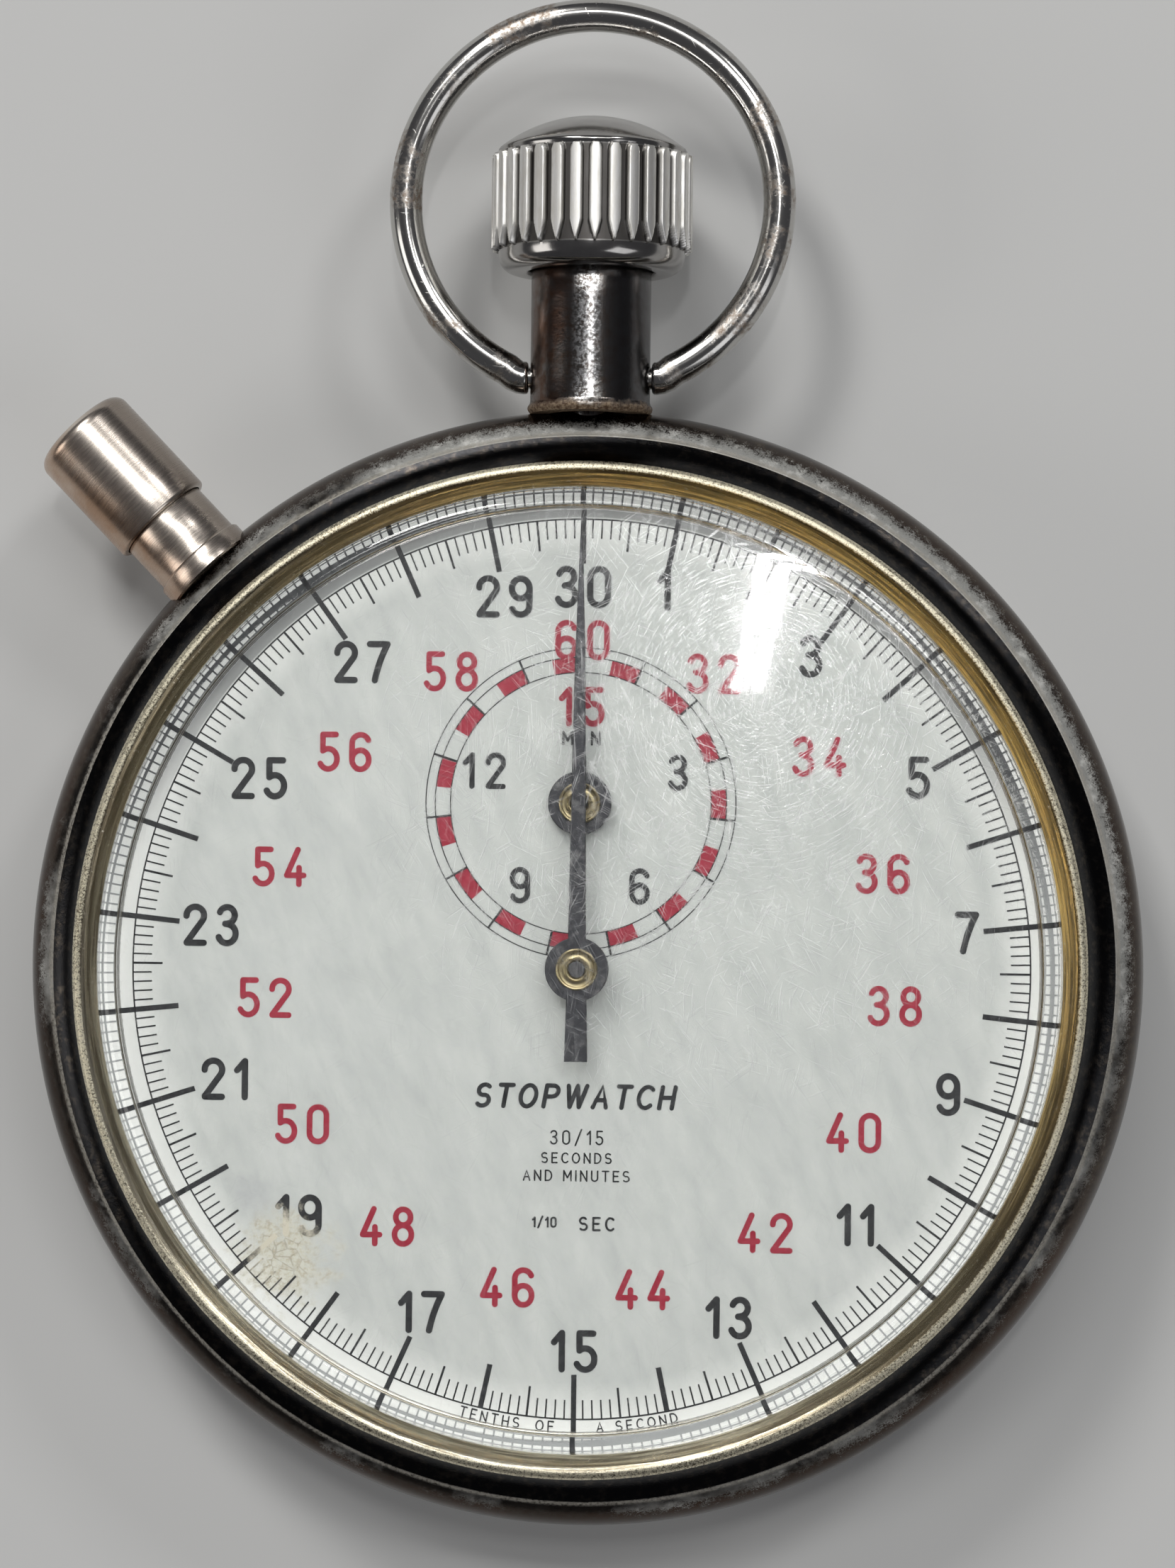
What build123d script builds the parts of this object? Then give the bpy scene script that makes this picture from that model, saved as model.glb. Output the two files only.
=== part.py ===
"""Mechanical stopwatch with a thirty-second dial and a fifteen-minute counter.

The watch lies on its back: +Z points out of the dial, +Y points to the crown, and the origin is the
centre of the flat on the back cover. Lengths are millimetres. Each piece is written to its own STEP file.
"""

import math
import os

from build123d import *

os.makedirs("parts", exist_ok=True)

# ---------------------------------------------------------------- driving dimensions: case
CASE_R = 25.5  # widest radius of the case band
MID_Z = 6.0  # height of the case band's widest line, and of the crown's and pusher's axes
BAND_TOP_Z = 8.0  # where the bezel sits
BAND_LOW_Z = 3.9  # where the back cover sits
BAND_EDGE_R = 24.3  # radius of the band at those two heights
RIM_R = 22.9  # rims that the bezel and the back cover snap over
LEDGE_Z = (6.2, 6.95)  # inner ledge that carries the movement
LEDGE_R = 20.6
BORE_R = 22.0
BEZEL_FOOT_R = 24.15
BEZEL_TOP_R = 22.8
BEZEL_TOP_Z = 10.95
SIGHT_R = 21.7  # inner radius of the bezel
FLANGE_Z = (8.85, 9.85)  # flange of the crystal, held between dial and bezel
CRYSTAL_R = 21.65
CRYSTAL_WALL = 0.8
CRYSTAL_TOP_Z = 12.9
BACK_FLAT_R = 15.0
BACK_CURVE = 16.0  # radius of the back cover's curved border
BACK_T = 0.6

# ---------------------------------------------------------------- driving dimensions: crown, bow and pusher
PENDANT_R = 2.75
PENDANT_Y = (25.3, 32.6)
BOW_PIVOT_Y = 27.0
BOW_CENTRE_Y = 35.1
BOW_R = 8.6  # radius of the bow's wire line
BOW_WIRE_R = 0.75
BOW_PIN_R = 0.5
CROWN_R = 4.62
CROWN_Y = (31.8, 39.0)
CROWN_BAND_Y = (32.9, 37.3)  # fluted part
FLUTES = 32
STEM_R = 0.85
STEM_SQUARE = 1.1
PUSHER_ANGLE = 44.0  # degrees to the left of the crown
PUSHER_R = 2.47
PUSHER_TUBE_R = 2.15
PUSHER_FROM, PUSHER_TO = 28.3, 34.2  # distance of the cap's two ends from the watch's centre

# ---------------------------------------------------------------- driving dimensions: dial and movement
PLATE_R = 21.6
PLATE_Z = (6.95, 8.35)
DIAL_R = 21.9
DIAL_Z = (8.45, 8.85)
BRIDGE_Z = (2.3, 3.3)
PILLAR_R = 1.2
MINUTE_HAND_Z = 9.35
SECONDS_HAND_Z = 10.05
RUN = 0.03  # radial clearance of a turning part in its hole

# teeth of the winding, going and counting trains
PINION_T, CONTRATE_T = 14, 28
CROWN_WHEEL_T, RATCHET_T = 36, 48
BARREL_T, SECOND_P = 72, 12
SECOND_T, THIRD_P = 60, 10
THIRD_T, SECONDS_P = 60, 10
SECONDS_T, ESCAPE_P = 80, 8
COUNTER_T, IDLER_T = 30, 15
ESCAPE_T = 15

# modules
M_PINION = 0.2643
M_WINDING = 0.25
M_BARREL = 2 * 6.6 / BARREL_T
M_SECOND = 2 * 5.0 / SECOND_T
M_THIRD = 2 * 4.4 / THIRD_T
M_SECONDS = 2 * 4.6 / SECONDS_T
M_COUNTER = 0.2

# ---------------------------------------------------------------- small helpers


def cyl(r, z0, z1, at=(0, 0)):
    """Upright cylinder of radius r between two heights."""
    return Pos(at[0], at[1], z0) * Cylinder(r, z1 - z0, align=(Align.CENTER, Align.CENTER, Align.MIN))


def ring(r_out, r_in, z0, z1, at=(0, 0)):
    """Upright washer."""
    return cyl(r_out, z0, z1, at) - cyl(r_in, z0 - 1, z1 + 1, at)


def slab(length, width, z0, z1, centre, angle=0.0):
    """Upright box, turned about Z by angle."""
    block = Box(length, width, z1 - z0, align=(Align.CENTER, Align.CENTER, Align.MIN))
    return Pos(centre[0], centre[1], z0) * Rot(0, 0, angle) * block


def along_y(shape):
    """Turns a shape made along +Z so that it runs along +Y at the height of the crown's axis."""
    return Pos(0, 0, MID_Z) * Rot(-90, 0, 0) * shape


def along_pusher(shape):
    """Turns a shape made along +Z so that it runs along the side pusher's axis."""
    return Rot(0, 0, PUSHER_ANGLE) * along_y(shape)


def turned(*parts):
    """Solid of revolution about Z. parts are (radius, height) corners, joined by straight lines,
    or a pair of them, (via, end), for an arc that passes through via."""
    edges = []
    here = parts[0]
    for part in parts[1:] + (parts[0],):
        if isinstance(part[0], tuple):
            via, end = part
            edges.append(ThreePointArc(flat(here), flat(via), flat(end)))
        else:
            end = part
            edges.append(Line(flat(here), flat(end)))
        here = end
    return revolve(make_face(edges), Axis.Z)


def flat(point):
    """A (radius, height) corner as a point in the XZ plane."""
    return (point[0], 0, point[1])


def level_arc(level, other):
    """Middle of the arc between two corners that runs level at the first one."""
    drop, run = level[1] - other[1], other[0] - level[0]
    radius = (run * run + drop * drop) / (2 * drop)
    half = math.asin(run / radius) / 2
    return (level[0] + radius * math.sin(half), level[1] - radius + radius * math.cos(half))


def upright_arc(upright, other):
    """Middle of the arc between two corners that runs upright at the first one."""
    inset, rise = upright[0] - other[0], other[1] - upright[1]
    radius = (rise * rise + inset * inset) / (2 * inset)
    half = math.asin(rise / radius) / 2
    return (upright[0] - radius + radius * math.cos(half), upright[1] + radius * math.sin(half))


def polar(r, degrees, centre=(0, 0)):
    """Point at a distance and an angle from a centre, with the angle counted from +X."""
    a = math.radians(degrees)
    return (centre[0] + r * math.cos(a), centre[1] + r * math.sin(a))


def bearing(a, b):
    """Angle of the line from a to b, in degrees from +X."""
    return math.degrees(math.atan2(b[1] - a[1], b[0] - a[0]))


def distance(a, b):
    return math.hypot(b[0] - a[0], b[1] - a[1])


def meeting_point(a, ra, b, rb, side):
    """The point at distance ra from a and rb from b, on the left (1) or right (-1) of the line a to b."""
    d = distance(a, b)
    x = (ra * ra - rb * rb + d * d) / (2 * d)
    y = side * math.sqrt(ra * ra - x * x)
    ux, uy = (b[0] - a[0]) / d, (b[1] - a[1]) / d
    return (a[0] + x * ux - y * uy, a[1] + x * uy + y * ux)


def centres(teeth_a, teeth_b, module):
    """Distance between the centres of two meshed gears."""
    return (teeth_a + teeth_b) * module / 2


def mesh_phase(a, teeth_a, phase_a, b, teeth_b):
    """Phase of gear b that puts one of its tooth spaces on a tooth of gear a, on the line of centres."""
    line = bearing(a, b)
    return line + 180 + 180 / teeth_b - (phase_a - line) * teeth_a / teeth_b


def gear(teeth, module, z0, z1, at=(0, 0), phase=0.0, tip=0.22, foot=0.5):
    """Spur gear with straight-flanked teeth. tip and foot are tooth widths as shares of the pitch."""
    pitch_r = teeth * module / 2
    tip_r, root_r = pitch_r + 0.8 * module, pitch_r - 1.15 * module
    pitch = 360 / teeth
    points = []
    for k in range(teeth):
        middle = phase + k * pitch
        for r, share in ((root_r, -foot), (tip_r, -tip), (tip_r, tip), (root_r, foot)):
            points.append(polar(r, middle + share * pitch / 2))
    face = make_face(Polyline(*points, close=True))
    return Pos(at[0], at[1], z0) * extrude(face, z1 - z0)


def windows(wheel_r, hub_r, spokes, z0, z1, at=(0, 0), rim=0.6, spoke_w=0.55, phase=0.0):
    """What is cut from a wheel so that a rim, a hub and spokes are left."""
    cut = ring(wheel_r - rim, hub_r, z0 - 0.1, z1 + 0.1, at)
    for k in range(spokes):
        angle = phase + k * 360 / spokes
        cut -= slab(wheel_r, spoke_w, z0 - 1, z1 + 1, polar(wheel_r / 2, angle, at), angle)
    return cut


def strip(points, width, z0, z1):
    """A flat lever: a band of one width along a bent line, with round ends and corners."""
    body = cyl(width / 2, z0, z1, points[0])
    for a, b in zip(points, points[1:]):
        middle = ((a[0] + b[0]) / 2, (a[1] + b[1]) / 2)
        body += slab(distance(a, b), width, z0, z1, middle, bearing(a, b))
        body += cyl(width / 2, z0, z1, b)
    return body


def screw(at, z_head, length, head_r=0.8, head_h=0.45, shank_r=0.4):
    """Slotted screw with its head at the bottom, from z_head, and its shank pointing up."""
    body = cyl(head_r, 0, head_h) + cyl(shank_r, head_h, head_h + length)
    body -= slab(head_r * 2.2, 0.2, -0.1, 0.18, (0, 0), 35)
    return Pos(at[0], at[1], z_head) * body


def coil_spring(coil_r, wire_r, length, turns):
    """Helical spring along +Z from height 0, with its wire inside the given length."""
    height = length - 2 * wire_r
    path = Helix(pitch=height / turns, height=height, radius=coil_r)
    profile = Plane(origin=path @ 0, z_dir=path % 0) * Circle(wire_r)
    return Pos(0, 0, wire_r) * sweep(profile, path=path, is_frenet=True)


def spiral_band(r_in, r_out, turns, thickness, z0, z1, at=(0, 0)):
    """Flat spiral strip, such as a mainspring or hairspring, between two radii."""
    steps = int(turns * 12)
    inner, outer = [], []
    for k in range(steps + 1):
        t = k / steps
        r = r_in + (r_out - r_in) * t
        inner.append(polar(r - thickness / 2, 360 * turns * t, at))
        outer.append(polar(r + thickness / 2, 360 * turns * t, at))
    edges = [Spline(*inner), Line(inner[-1], outer[-1]), Spline(*outer), Line(outer[0], inner[0])]
    return Pos(0, 0, z0) * extrude(make_face(edges), z1 - z0)


def heart(r_min, r_max, z0, z1, at, bore):
    """Heart-shaped return cam with its notch towards +Y."""
    points = []
    for k in range(48):
        turn = -180 + 7.5 * k
        points.append(polar(r_min + (r_max - r_min) * abs(turn) / 180, 90 + turn))
    cam = Pos(at[0], at[1], z0) * extrude(make_face(Polyline(*points, close=True)), z1 - z0)
    return cam - cyl(bore, z0 - 1, z1 + 1, at)


def save(name, shape):
    shape.label = name
    export_step(shape, f"parts/{name}.step")


# ---------------------------------------------------------------- places of the arbors and pivots
CENTRE = (0.0, 0.0)  # seconds arbor
MINUTE = (0.0, 7.45)  # counter arbor, under the small dial
CROWN_WHEEL = (0.0, 15.0)
BARREL = polar(centres(CROWN_WHEEL_T, RATCHET_T, M_WINDING), -31, CROWN_WHEEL)
SECOND = meeting_point(BARREL, centres(BARREL_T, SECOND_P, M_BARREL), CENTRE, 10.3, 1)
THIRD = meeting_point(
    CENTRE, centres(THIRD_T, SECONDS_P, M_THIRD), SECOND, centres(SECOND_T, THIRD_P, M_SECOND), -1
)
ESCAPE = polar(centres(SECONDS_T, ESCAPE_P, M_SECONDS), 215)
ESCAPE_R = 2.6
FORK = polar(3.0, 248, ESCAPE)
BALANCE = polar(3.9, 248, FORK)
BALANCE_R = 5.2
IDLER = polar(centres(COUNTER_T, IDLER_T, M_COUNTER), 225, MINUTE)
COLUMN = (-11.6, 5.6)
COLUMN_R = 2.3
OPERATING_PIVOT = (-6.0, 13.3)
HAMMER_PIVOT = (-15.5, 3.1)
BRAKE_PIVOT = (-15.6, -7.5)
CLICK_PIVOT = polar(7.9, -38, BARREL)
PALLET_FOOT = polar(5.6, 338, FORK)
COCK_FOOT = polar(19.0, 236)
JUMPER_FOOT = (-8.2, -0.6)
BARREL_FEET = [polar(19.2, 12), polar(19.2, 72), polar(19.3, 110)]
TRAIN_FEET = [polar(19.0, -20), polar(19.0, -75), (-10.3, -2.6)]
CASE_SCREWS = [polar(20.0, 160), polar(20.0, 300)]
DIAL_FEET = [polar(18.0, 150), polar(18.0, -30)]
PUSH_POINT = polar(17.2, 90 + PUSHER_ANGLE)  # where the pusher's stem meets the reset hammer
JEWEL_R = 0.8

# phases that bring the trains into mesh with the hands at zero
PHASE_RATCHET = mesh_phase(CROWN_WHEEL, CROWN_WHEEL_T, 0, BARREL, RATCHET_T)
PHASE_THIRD = mesh_phase(CENTRE, SECONDS_P, 0, THIRD, THIRD_T)
PHASE_ESCAPE_P = mesh_phase(CENTRE, SECONDS_T, 0, ESCAPE, ESCAPE_P)
PHASE_SECOND = mesh_phase(THIRD, THIRD_P, 0, SECOND, SECOND_T)
PHASE_BARREL = mesh_phase(SECOND, SECOND_P, 0, BARREL, BARREL_T)
PHASE_MINUTE = mesh_phase(IDLER, IDLER_T, 0, MINUTE, COUNTER_T)

# ================================================================ case


def case_band():
    """Barrel-shaped band with a rim above and below, an inner ledge, and holes for pendant and pusher."""
    widest, low, high = (CASE_R, MID_Z), (BAND_EDGE_R, BAND_LOW_Z + 0.15), (BAND_EDGE_R, BAND_TOP_Z - 0.15)
    band = turned(
        (RIM_R, BAND_LOW_Z),
        (BAND_EDGE_R - 0.15, BAND_LOW_Z),
        low,
        (upright_arc(widest, low), widest),
        (upright_arc(widest, high), high),
        (BAND_EDGE_R - 0.15, BAND_TOP_Z),
        (RIM_R, BAND_TOP_Z),
        (RIM_R, 8.85),
        (BORE_R, 8.85),
        (BORE_R, LEDGE_Z[1]),
        (LEDGE_R, LEDGE_Z[1]),
        (LEDGE_R, LEDGE_Z[0]),
        (22.2, LEDGE_Z[0]),
        (22.2, 3.05),
        (RIM_R, 3.05),
    )
    band -= along_y(cyl(1.7, 20, 27) + cyl(PENDANT_R, PENDANT_Y[0], 27))
    band -= slab(5.0, 2.2, 3.0, LEDGE_Z[1], (0, 21.1))
    band -= along_pusher(cyl(1.6, 19, 27) + cyl(2.3, 24.9, 27))
    return band


def back_cover():
    """Snap-on cover: a flat disc with a curved border and a skirt."""
    outer_flat, outer_edge = (BACK_FLAT_R, 0), (23.75, 2.6)
    inner_flat, inner_edge = (BACK_FLAT_R, BACK_T), (RIM_R + 0.03, 2.8)
    return turned(
        (0, 0),
        outer_flat,
        (level_arc(outer_flat, outer_edge), outer_edge),
        (24.15, 3.05),
        (24.15, BAND_LOW_Z),
        (RIM_R + 0.03, BAND_LOW_Z),
        inner_edge,
        (level_arc(inner_flat, inner_edge), inner_flat),
        (0, BACK_T),
    )


def bezel():
    """Snap-on bezel: a sloping bevel inside, a rounded rim, and a hollow flank down to the band."""
    return turned(
        (SIGHT_R, FLANGE_Z[1]),
        (SIGHT_R, 10.3),
        (22.2, 10.85),
        ((22.45, BEZEL_TOP_Z), (BEZEL_TOP_R, 10.7)),
        ((22.98, 9.1), (BEZEL_FOOT_R, 8.2)),
        (BEZEL_FOOT_R, BAND_TOP_Z),
        (RIM_R + 0.03, BAND_TOP_Z),
        (RIM_R + 0.03, 8.9),
        (BORE_R, 8.9),
        (BORE_R, FLANGE_Z[1]),
    )


def crystal():
    """Domed acrylic crystal with a flange that the bezel holds down on the dial's edge."""
    inner_r = CRYSTAL_R - CRYSTAL_WALL
    top, shoulder = (0, CRYSTAL_TOP_Z), (20.75, 11.68)
    inner_top, inner_shoulder = (0, CRYSTAL_TOP_Z - 0.9), (20.5, 10.8)
    return turned(
        (inner_r, FLANGE_Z[0]),
        (BORE_R - 0.03, FLANGE_Z[0]),
        (BORE_R - 0.03, FLANGE_Z[1]),
        (CRYSTAL_R, FLANGE_Z[1]),
        (CRYSTAL_R, 10.78),
        ((21.39, 11.42), shoulder),
        (level_arc(top, shoulder), top),
        inner_top,
        (level_arc(inner_top, inner_shoulder), inner_shoulder),
        ((20.75, 10.7), (inner_r, 10.45)),
    )


def pendant_tube():
    """Neck that carries the crown and the bow, with a spigot that is soldered into the band."""
    tube = turned(
        (STEM_R + RUN, 22.25),
        (1.7, 22.25),
        (1.7, PENDANT_Y[0]),
        (PENDANT_R, PENDANT_Y[0]),
        (PENDANT_R, PENDANT_Y[1] - 0.3),
        (PENDANT_R - 0.3, PENDANT_Y[1]),
        (2.0, PENDANT_Y[1]),
        (2.0, 26.2),
        (STEM_R + RUN, 26.2),
    )
    tube = along_y(tube)
    for side in (-1, 1):
        hole = Rot(0, 90 * side, 0) * cyl(BOW_PIN_R + RUN, 2.14, 3.5)
        tube -= Pos(0, BOW_PIVOT_Y, MID_Z) * hole
    return tube


def bow():
    """Wire ring whose two ends turn in to pins in the sides of the pendant."""
    half_gap = math.degrees(math.asin(3.62 / BOW_R))
    start = Vector(*polar(BOW_R, -90 + half_gap, (0, BOW_CENTRE_Y)), MID_Z)
    top = Vector(0, BOW_CENTRE_Y + BOW_R, MID_Z)
    end = Vector(-start.X, start.Y, MID_Z)
    arc = ThreePointArc(start, top, end)
    wire = sweep(Plane(origin=arc @ 0, z_dir=arc % 0) * Circle(BOW_WIRE_R), path=arc)
    for side in (-1, 1):
        cheek = Rot(0, 90 * side, 0) * (cyl(BOW_WIRE_R + 0.02, 2.85, 3.75) + cyl(BOW_PIN_R, 2.2, 3.2))
        wire += Pos(0, BOW_PIVOT_Y, MID_Z) * cheek
        wire += Pos(side * start.X, BOW_PIVOT_Y + 0.5 * (start.Y - BOW_PIVOT_Y), MID_Z) * Sphere(BOW_WIRE_R + 0.03)
    return wire


def crown():
    """Fluted winding crown, hollow below so that it can be pushed down over the pendant."""
    top, shoulder = (0, CROWN_Y[1]), (4.4, CROWN_BAND_Y[1] + 0.12)
    body = turned(
        (PENDANT_R + 0.12, CROWN_Y[0]),
        (3.5, CROWN_Y[0]),
        ((4.28, 32.12), (CROWN_R, CROWN_BAND_Y[0])),
        (CROWN_R, CROWN_BAND_Y[1]),
        shoulder,
        (level_arc(top, shoulder), top),
        (0, 37.0),
        (STEM_R, 37.0),
        (STEM_R, 34.9),
        (1.5, 34.9),
        (1.5, 35.6),
        (PENDANT_R + 0.12, 35.6),
    )
    groove = Rot(0, 0, 45) * Box(0.34, 0.34, 10)
    for k in range(FLUTES):
        x, y = polar(CROWN_R + 0.06, 360 * k / FLUTES)
        cut = Pos(x, y, 37.35) * Rot(0, 0, 360 * k / FLUTES) * groove
        body -= cut & cyl(6, CROWN_BAND_Y[0] - 0.3, CROWN_BAND_Y[1] + 0.3)
    return along_y(body)


def crown_stem():
    """Stem fixed in the crown: round in the pendant and square where it passes through the pinion."""
    stem = cyl(STEM_R, 23.4, 37.0) + slab(STEM_SQUARE, STEM_SQUARE, 15.65, 23.4, (0, 0))
    return along_y(stem)


def crown_spring():
    return along_y(Pos(0, 0, 26.22) * coil_spring(1.76, 0.15, 35.58 - 26.22, 9))


def pusher_tube():
    """Fixed sleeve of the side pusher, with a collar against the band."""
    tube = turned(
        (0.73, 22.3),
        (1.6, 22.3),
        (1.6, 24.9),
        (2.3, 24.9),
        (2.3, 25.9),
        (PUSHER_TUBE_R, 25.9),
        (PUSHER_TUBE_R, 29.3),
        (1.55, 29.3),
        (1.55, 26.0),
        (0.73, 26.0),
    )
    return along_pusher(tube)


def pusher_cap():
    """Cap of the side pusher, which slides over its sleeve."""
    top, shoulder = (0, PUSHER_TO), (PUSHER_R - 0.6, PUSHER_TO - 0.08)
    cap = turned(
        (PUSHER_TUBE_R + RUN, PUSHER_FROM),
        (PUSHER_R - 0.05, PUSHER_FROM),
        (PUSHER_R, PUSHER_FROM + 0.12),
        (PUSHER_R, PUSHER_TO - 0.6),
        ((PUSHER_R - 0.17, PUSHER_TO - 0.25), shoulder),
        (level_arc(top, shoulder), top),
        (0, 33.2),
        (0.7, 33.2),
        (0.7, 31.2),
        (PUSHER_TUBE_R + RUN, 31.2),
    )
    return along_pusher(cap)


def pusher_stem():
    return along_pusher(cyl(0.7, distance(CENTRE, PUSH_POINT) + 0.66, 33.2))


def pusher_spring():
    return along_pusher(Pos(0, 0, 26.02) * coil_spring(1.15, 0.14, 31.18 - 26.02, 7))


# ================================================================ dial and hands


def dial():
    plate = cyl(DIAL_R, *DIAL_Z) - cyl(0.9, 8, 9, CENTRE) - cyl(0.9, 8, 9, MINUTE)
    for foot in DIAL_FEET:
        plate += cyl(0.45, 7.2, DIAL_Z[0] + 0.1, foot)
    return plate


def seconds_hand():
    """Tapering hand with a counterweight tail and a round hub."""
    z0, z1 = SECONDS_HAND_Z, SECONDS_HAND_Z + 0.2
    outline = Polyline((0.52, -4.14), (0.42, 0), (0.23, 14.0), (0.03, 20.1), (-0.03, 20.1), (-0.23, 14.0),
                       (-0.42, 0), (-0.52, -4.14), close=True)
    hand = Pos(0, 0, z0) * extrude(make_face(outline), z1 - z0)
    return hand + cyl(1.43, z0, z1) - cyl(0.95, z0 - 1, z1 + 1)


def minute_hand():
    """Short tapering hand of the counter."""
    z0, z1 = MINUTE_HAND_Z, MINUTE_HAND_Z + 0.16
    outline = Polyline((0.36, 0), (0.04, 5.75), (-0.04, 5.75), (-0.36, 0), close=True)
    hand = Pos(MINUTE[0], MINUTE[1], z0) * extrude(make_face(outline), z1 - z0)
    return hand + cyl(1.43, z0, z1, MINUTE) - cyl(0.95, z0 - 1, z1 + 1, MINUTE)


def hand_boss(at, z0, bore):
    """Brass bush that is pressed into a hand and onto its arbor."""
    boss = cyl(0.95, z0 - 0.25, z0 + 0.32, at) - cyl(0.45, z0 + 0.22, z0 + 1, at)
    return boss - cyl(bore, z0 - 1, z0 + 1, at)


# ================================================================ movement: frame


def main_plate():
    """Plate under the dial, with a lug for the winding pinion and studs for the levers."""
    z0, z1 = PLATE_Z
    plate = cyl(PLATE_R, z0, z1)
    plate += slab(3.2, 1.2, 4.2, z0 + 0.1, (0, 20.8))
    plate -= slab(4.9, 2.5, z0 - 1, 8.2, (0, 18.7))
    plate -= along_y(cyl(1.1 + RUN, 20.0, 22.0))
    for at, low in ((OPERATING_PIVOT, 5.4), (HAMMER_PIVOT, 1.35), (BRAKE_PIVOT, 3.7), (COLUMN, 3.7)):
        plate += cyl(0.5, low, z0 + 0.1, at)
    for at in (CENTRE, MINUTE):
        plate -= cyl(0.5 + RUN, z0 - 1, z1 + 1, at)
    for at in (SECOND, THIRD, ESCAPE, FORK, BALANCE):
        plate -= cyl(JEWEL_R, z0 - 1, z0 + 0.5, at)
    plate -= cyl(0.7 + RUN, z0 - 1, z0 + 1.1, BARREL)
    for at in DIAL_FEET:
        plate -= cyl(0.5, 7.1, z1 + 1, at)
    for at in BARREL_FEET + TRAIN_FEET + [COCK_FOOT, PALLET_FOOT, JUMPER_FOOT] + CASE_SCREWS:
        plate -= cyl(0.4, z0 - 1, z0 + 1.1, at)
    return plate


def bridge(strips, discs, feet, holes, z=BRIDGE_Z):
    """Bridge made of arms and discs, standing on pillars against the main plate."""
    body = None
    for points, width in strips:
        arm = strip(points, width, *z)
        body = arm if body is None else body + arm
    for at, r in discs:
        body += cyl(r, *z, at)
    for foot in feet:
        body += cyl(PILLAR_R, z[0], PLATE_Z[0], foot)
    for foot in feet:
        body -= cyl(0.4, z[0] - 1, PLATE_Z[0] + 1, foot)
    for at, r in holes:
        body -= cyl(r, z[0] - 1, z[1] + 1, at)
    return body


def barrel_bridge():
    strips = [([BARREL, BARREL_FEET[0]], 4.0), ([BARREL_FEET[1], CROWN_WHEEL, BARREL_FEET[2]], 3.0),
              ([BARREL, CROWN_WHEEL], 4.0)]
    discs = [(BARREL, 5.6), (CROWN_WHEEL, 3.4)]
    holes = [(BARREL, 0.8 + RUN), (CROWN_WHEEL, 0.5), ((5.7, 7.6), 0.4), (CLICK_PIVOT, 0.5)]
    return bridge(strips, discs + [(CLICK_PIVOT, 1.3)], BARREL_FEET, holes)


def train_bridge():
    strips = [([TRAIN_FEET[2], ESCAPE, CENTRE, THIRD, SECOND, TRAIN_FEET[0]], 3.0), ([THIRD, TRAIN_FEET[1]], 3.0),
              ([CENTRE, IDLER, MINUTE], 2.6)]
    holes = [(ESCAPE, JEWEL_R), (THIRD, JEWEL_R), (SECOND, JEWEL_R), (CENTRE, 0.4 + RUN),
             (MINUTE, 0.4 + RUN), (IDLER, 0.35 + RUN)]
    return bridge(strips, [(MINUTE, 1.6), (IDLER, 1.3)], TRAIN_FEET, holes)


def balance_cock():
    stud = polar(3.05, 60, BALANCE)
    cock = bridge([([BALANCE, COCK_FOOT], 3.2), ([BALANCE, stud], 1.2)], [(BALANCE, 1.9)], [COCK_FOOT],
                  [(BALANCE, JEWEL_R)], z=(2.4, 3.2))
    return cock + cyl(0.3, 3.1, 3.75, stud)


def pallet_cock():
    z = (4.7, 5.2)
    cock = strip([FORK, PALLET_FOOT], 1.8, *z) + cyl(1.0, z[0], PLATE_Z[0], PALLET_FOOT)
    cock -= cyl(0.4, z[0] - 1, PLATE_Z[0] + 1, PALLET_FOOT)
    return cock - cyl(0.55, z[0] - 1, z[1] + 1, FORK)


def jewels():
    """Ruby bearings pressed into the plate and the bridges."""
    stones = []
    for at in (SECOND, THIRD, ESCAPE, FORK, BALANCE):
        stones.append(ring(JEWEL_R, 0.2 + RUN, PLATE_Z[0], PLATE_Z[0] + 0.4, at))
    for at in (SECOND, THIRD, ESCAPE):
        stones.append(ring(JEWEL_R, 0.2 + RUN, BRIDGE_Z[1] - 0.4, BRIDGE_Z[1], at))
    stones.append(ring(JEWEL_R, 0.2 + RUN, 2.8, 3.2, BALANCE))
    stones.append(ring(0.55, 0.2 + RUN, 4.7, 5.2, FORK))
    return Compound(children=stones)


def bridge_screws():
    long = [screw(at, 1.85, 5.7) for at in BARREL_FEET + TRAIN_FEET]
    long.append(screw(COCK_FOOT, 1.95, 5.5))
    long.append(screw(PALLET_FOOT, 4.25, 3.2))
    return Compound(children=long)


def case_screws():
    """Two screws whose heads reach under the ledge of the case."""
    return Compound(children=[screw(at, 5.7, 1.8, head_r=1.2, head_h=0.5) for at in CASE_SCREWS])


# ================================================================ movement: winding


def winding_pinion():
    """Pinion that the square stem turns and slides through."""
    body = gear(PINION_T, M_PINION, 17.95, 19.5, phase=90, tip=0.2, foot=0.44)
    body += cyl(1.1, 17.5, 21.2)
    body -= slab(STEM_SQUARE + 0.06, STEM_SQUARE + 0.06, 17, 22, (0, 0))
    return along_y(body)


def crown_wheel():
    """Wheel with face teeth under the pinion and rim teeth for the ratchet wheel."""
    wheel = gear(CROWN_WHEEL_T, M_WINDING, 3.35, 3.75, CROWN_WHEEL) + cyl(4.25, 3.35, 3.88, CROWN_WHEEL)
    mean_r = CONTRATE_T * M_PINION / 2
    width = 0.34 * math.pi * M_PINION
    for k in range(CONTRATE_T):
        angle = 90 + (k + 0.5) * 360 / CONTRATE_T
        wheel += slab(1.0, width, 3.8, 4.28, polar(mean_r, angle, CROWN_WHEEL), angle)
    return wheel - cyl(0.9 + RUN, 3, 5, CROWN_WHEEL)


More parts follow.
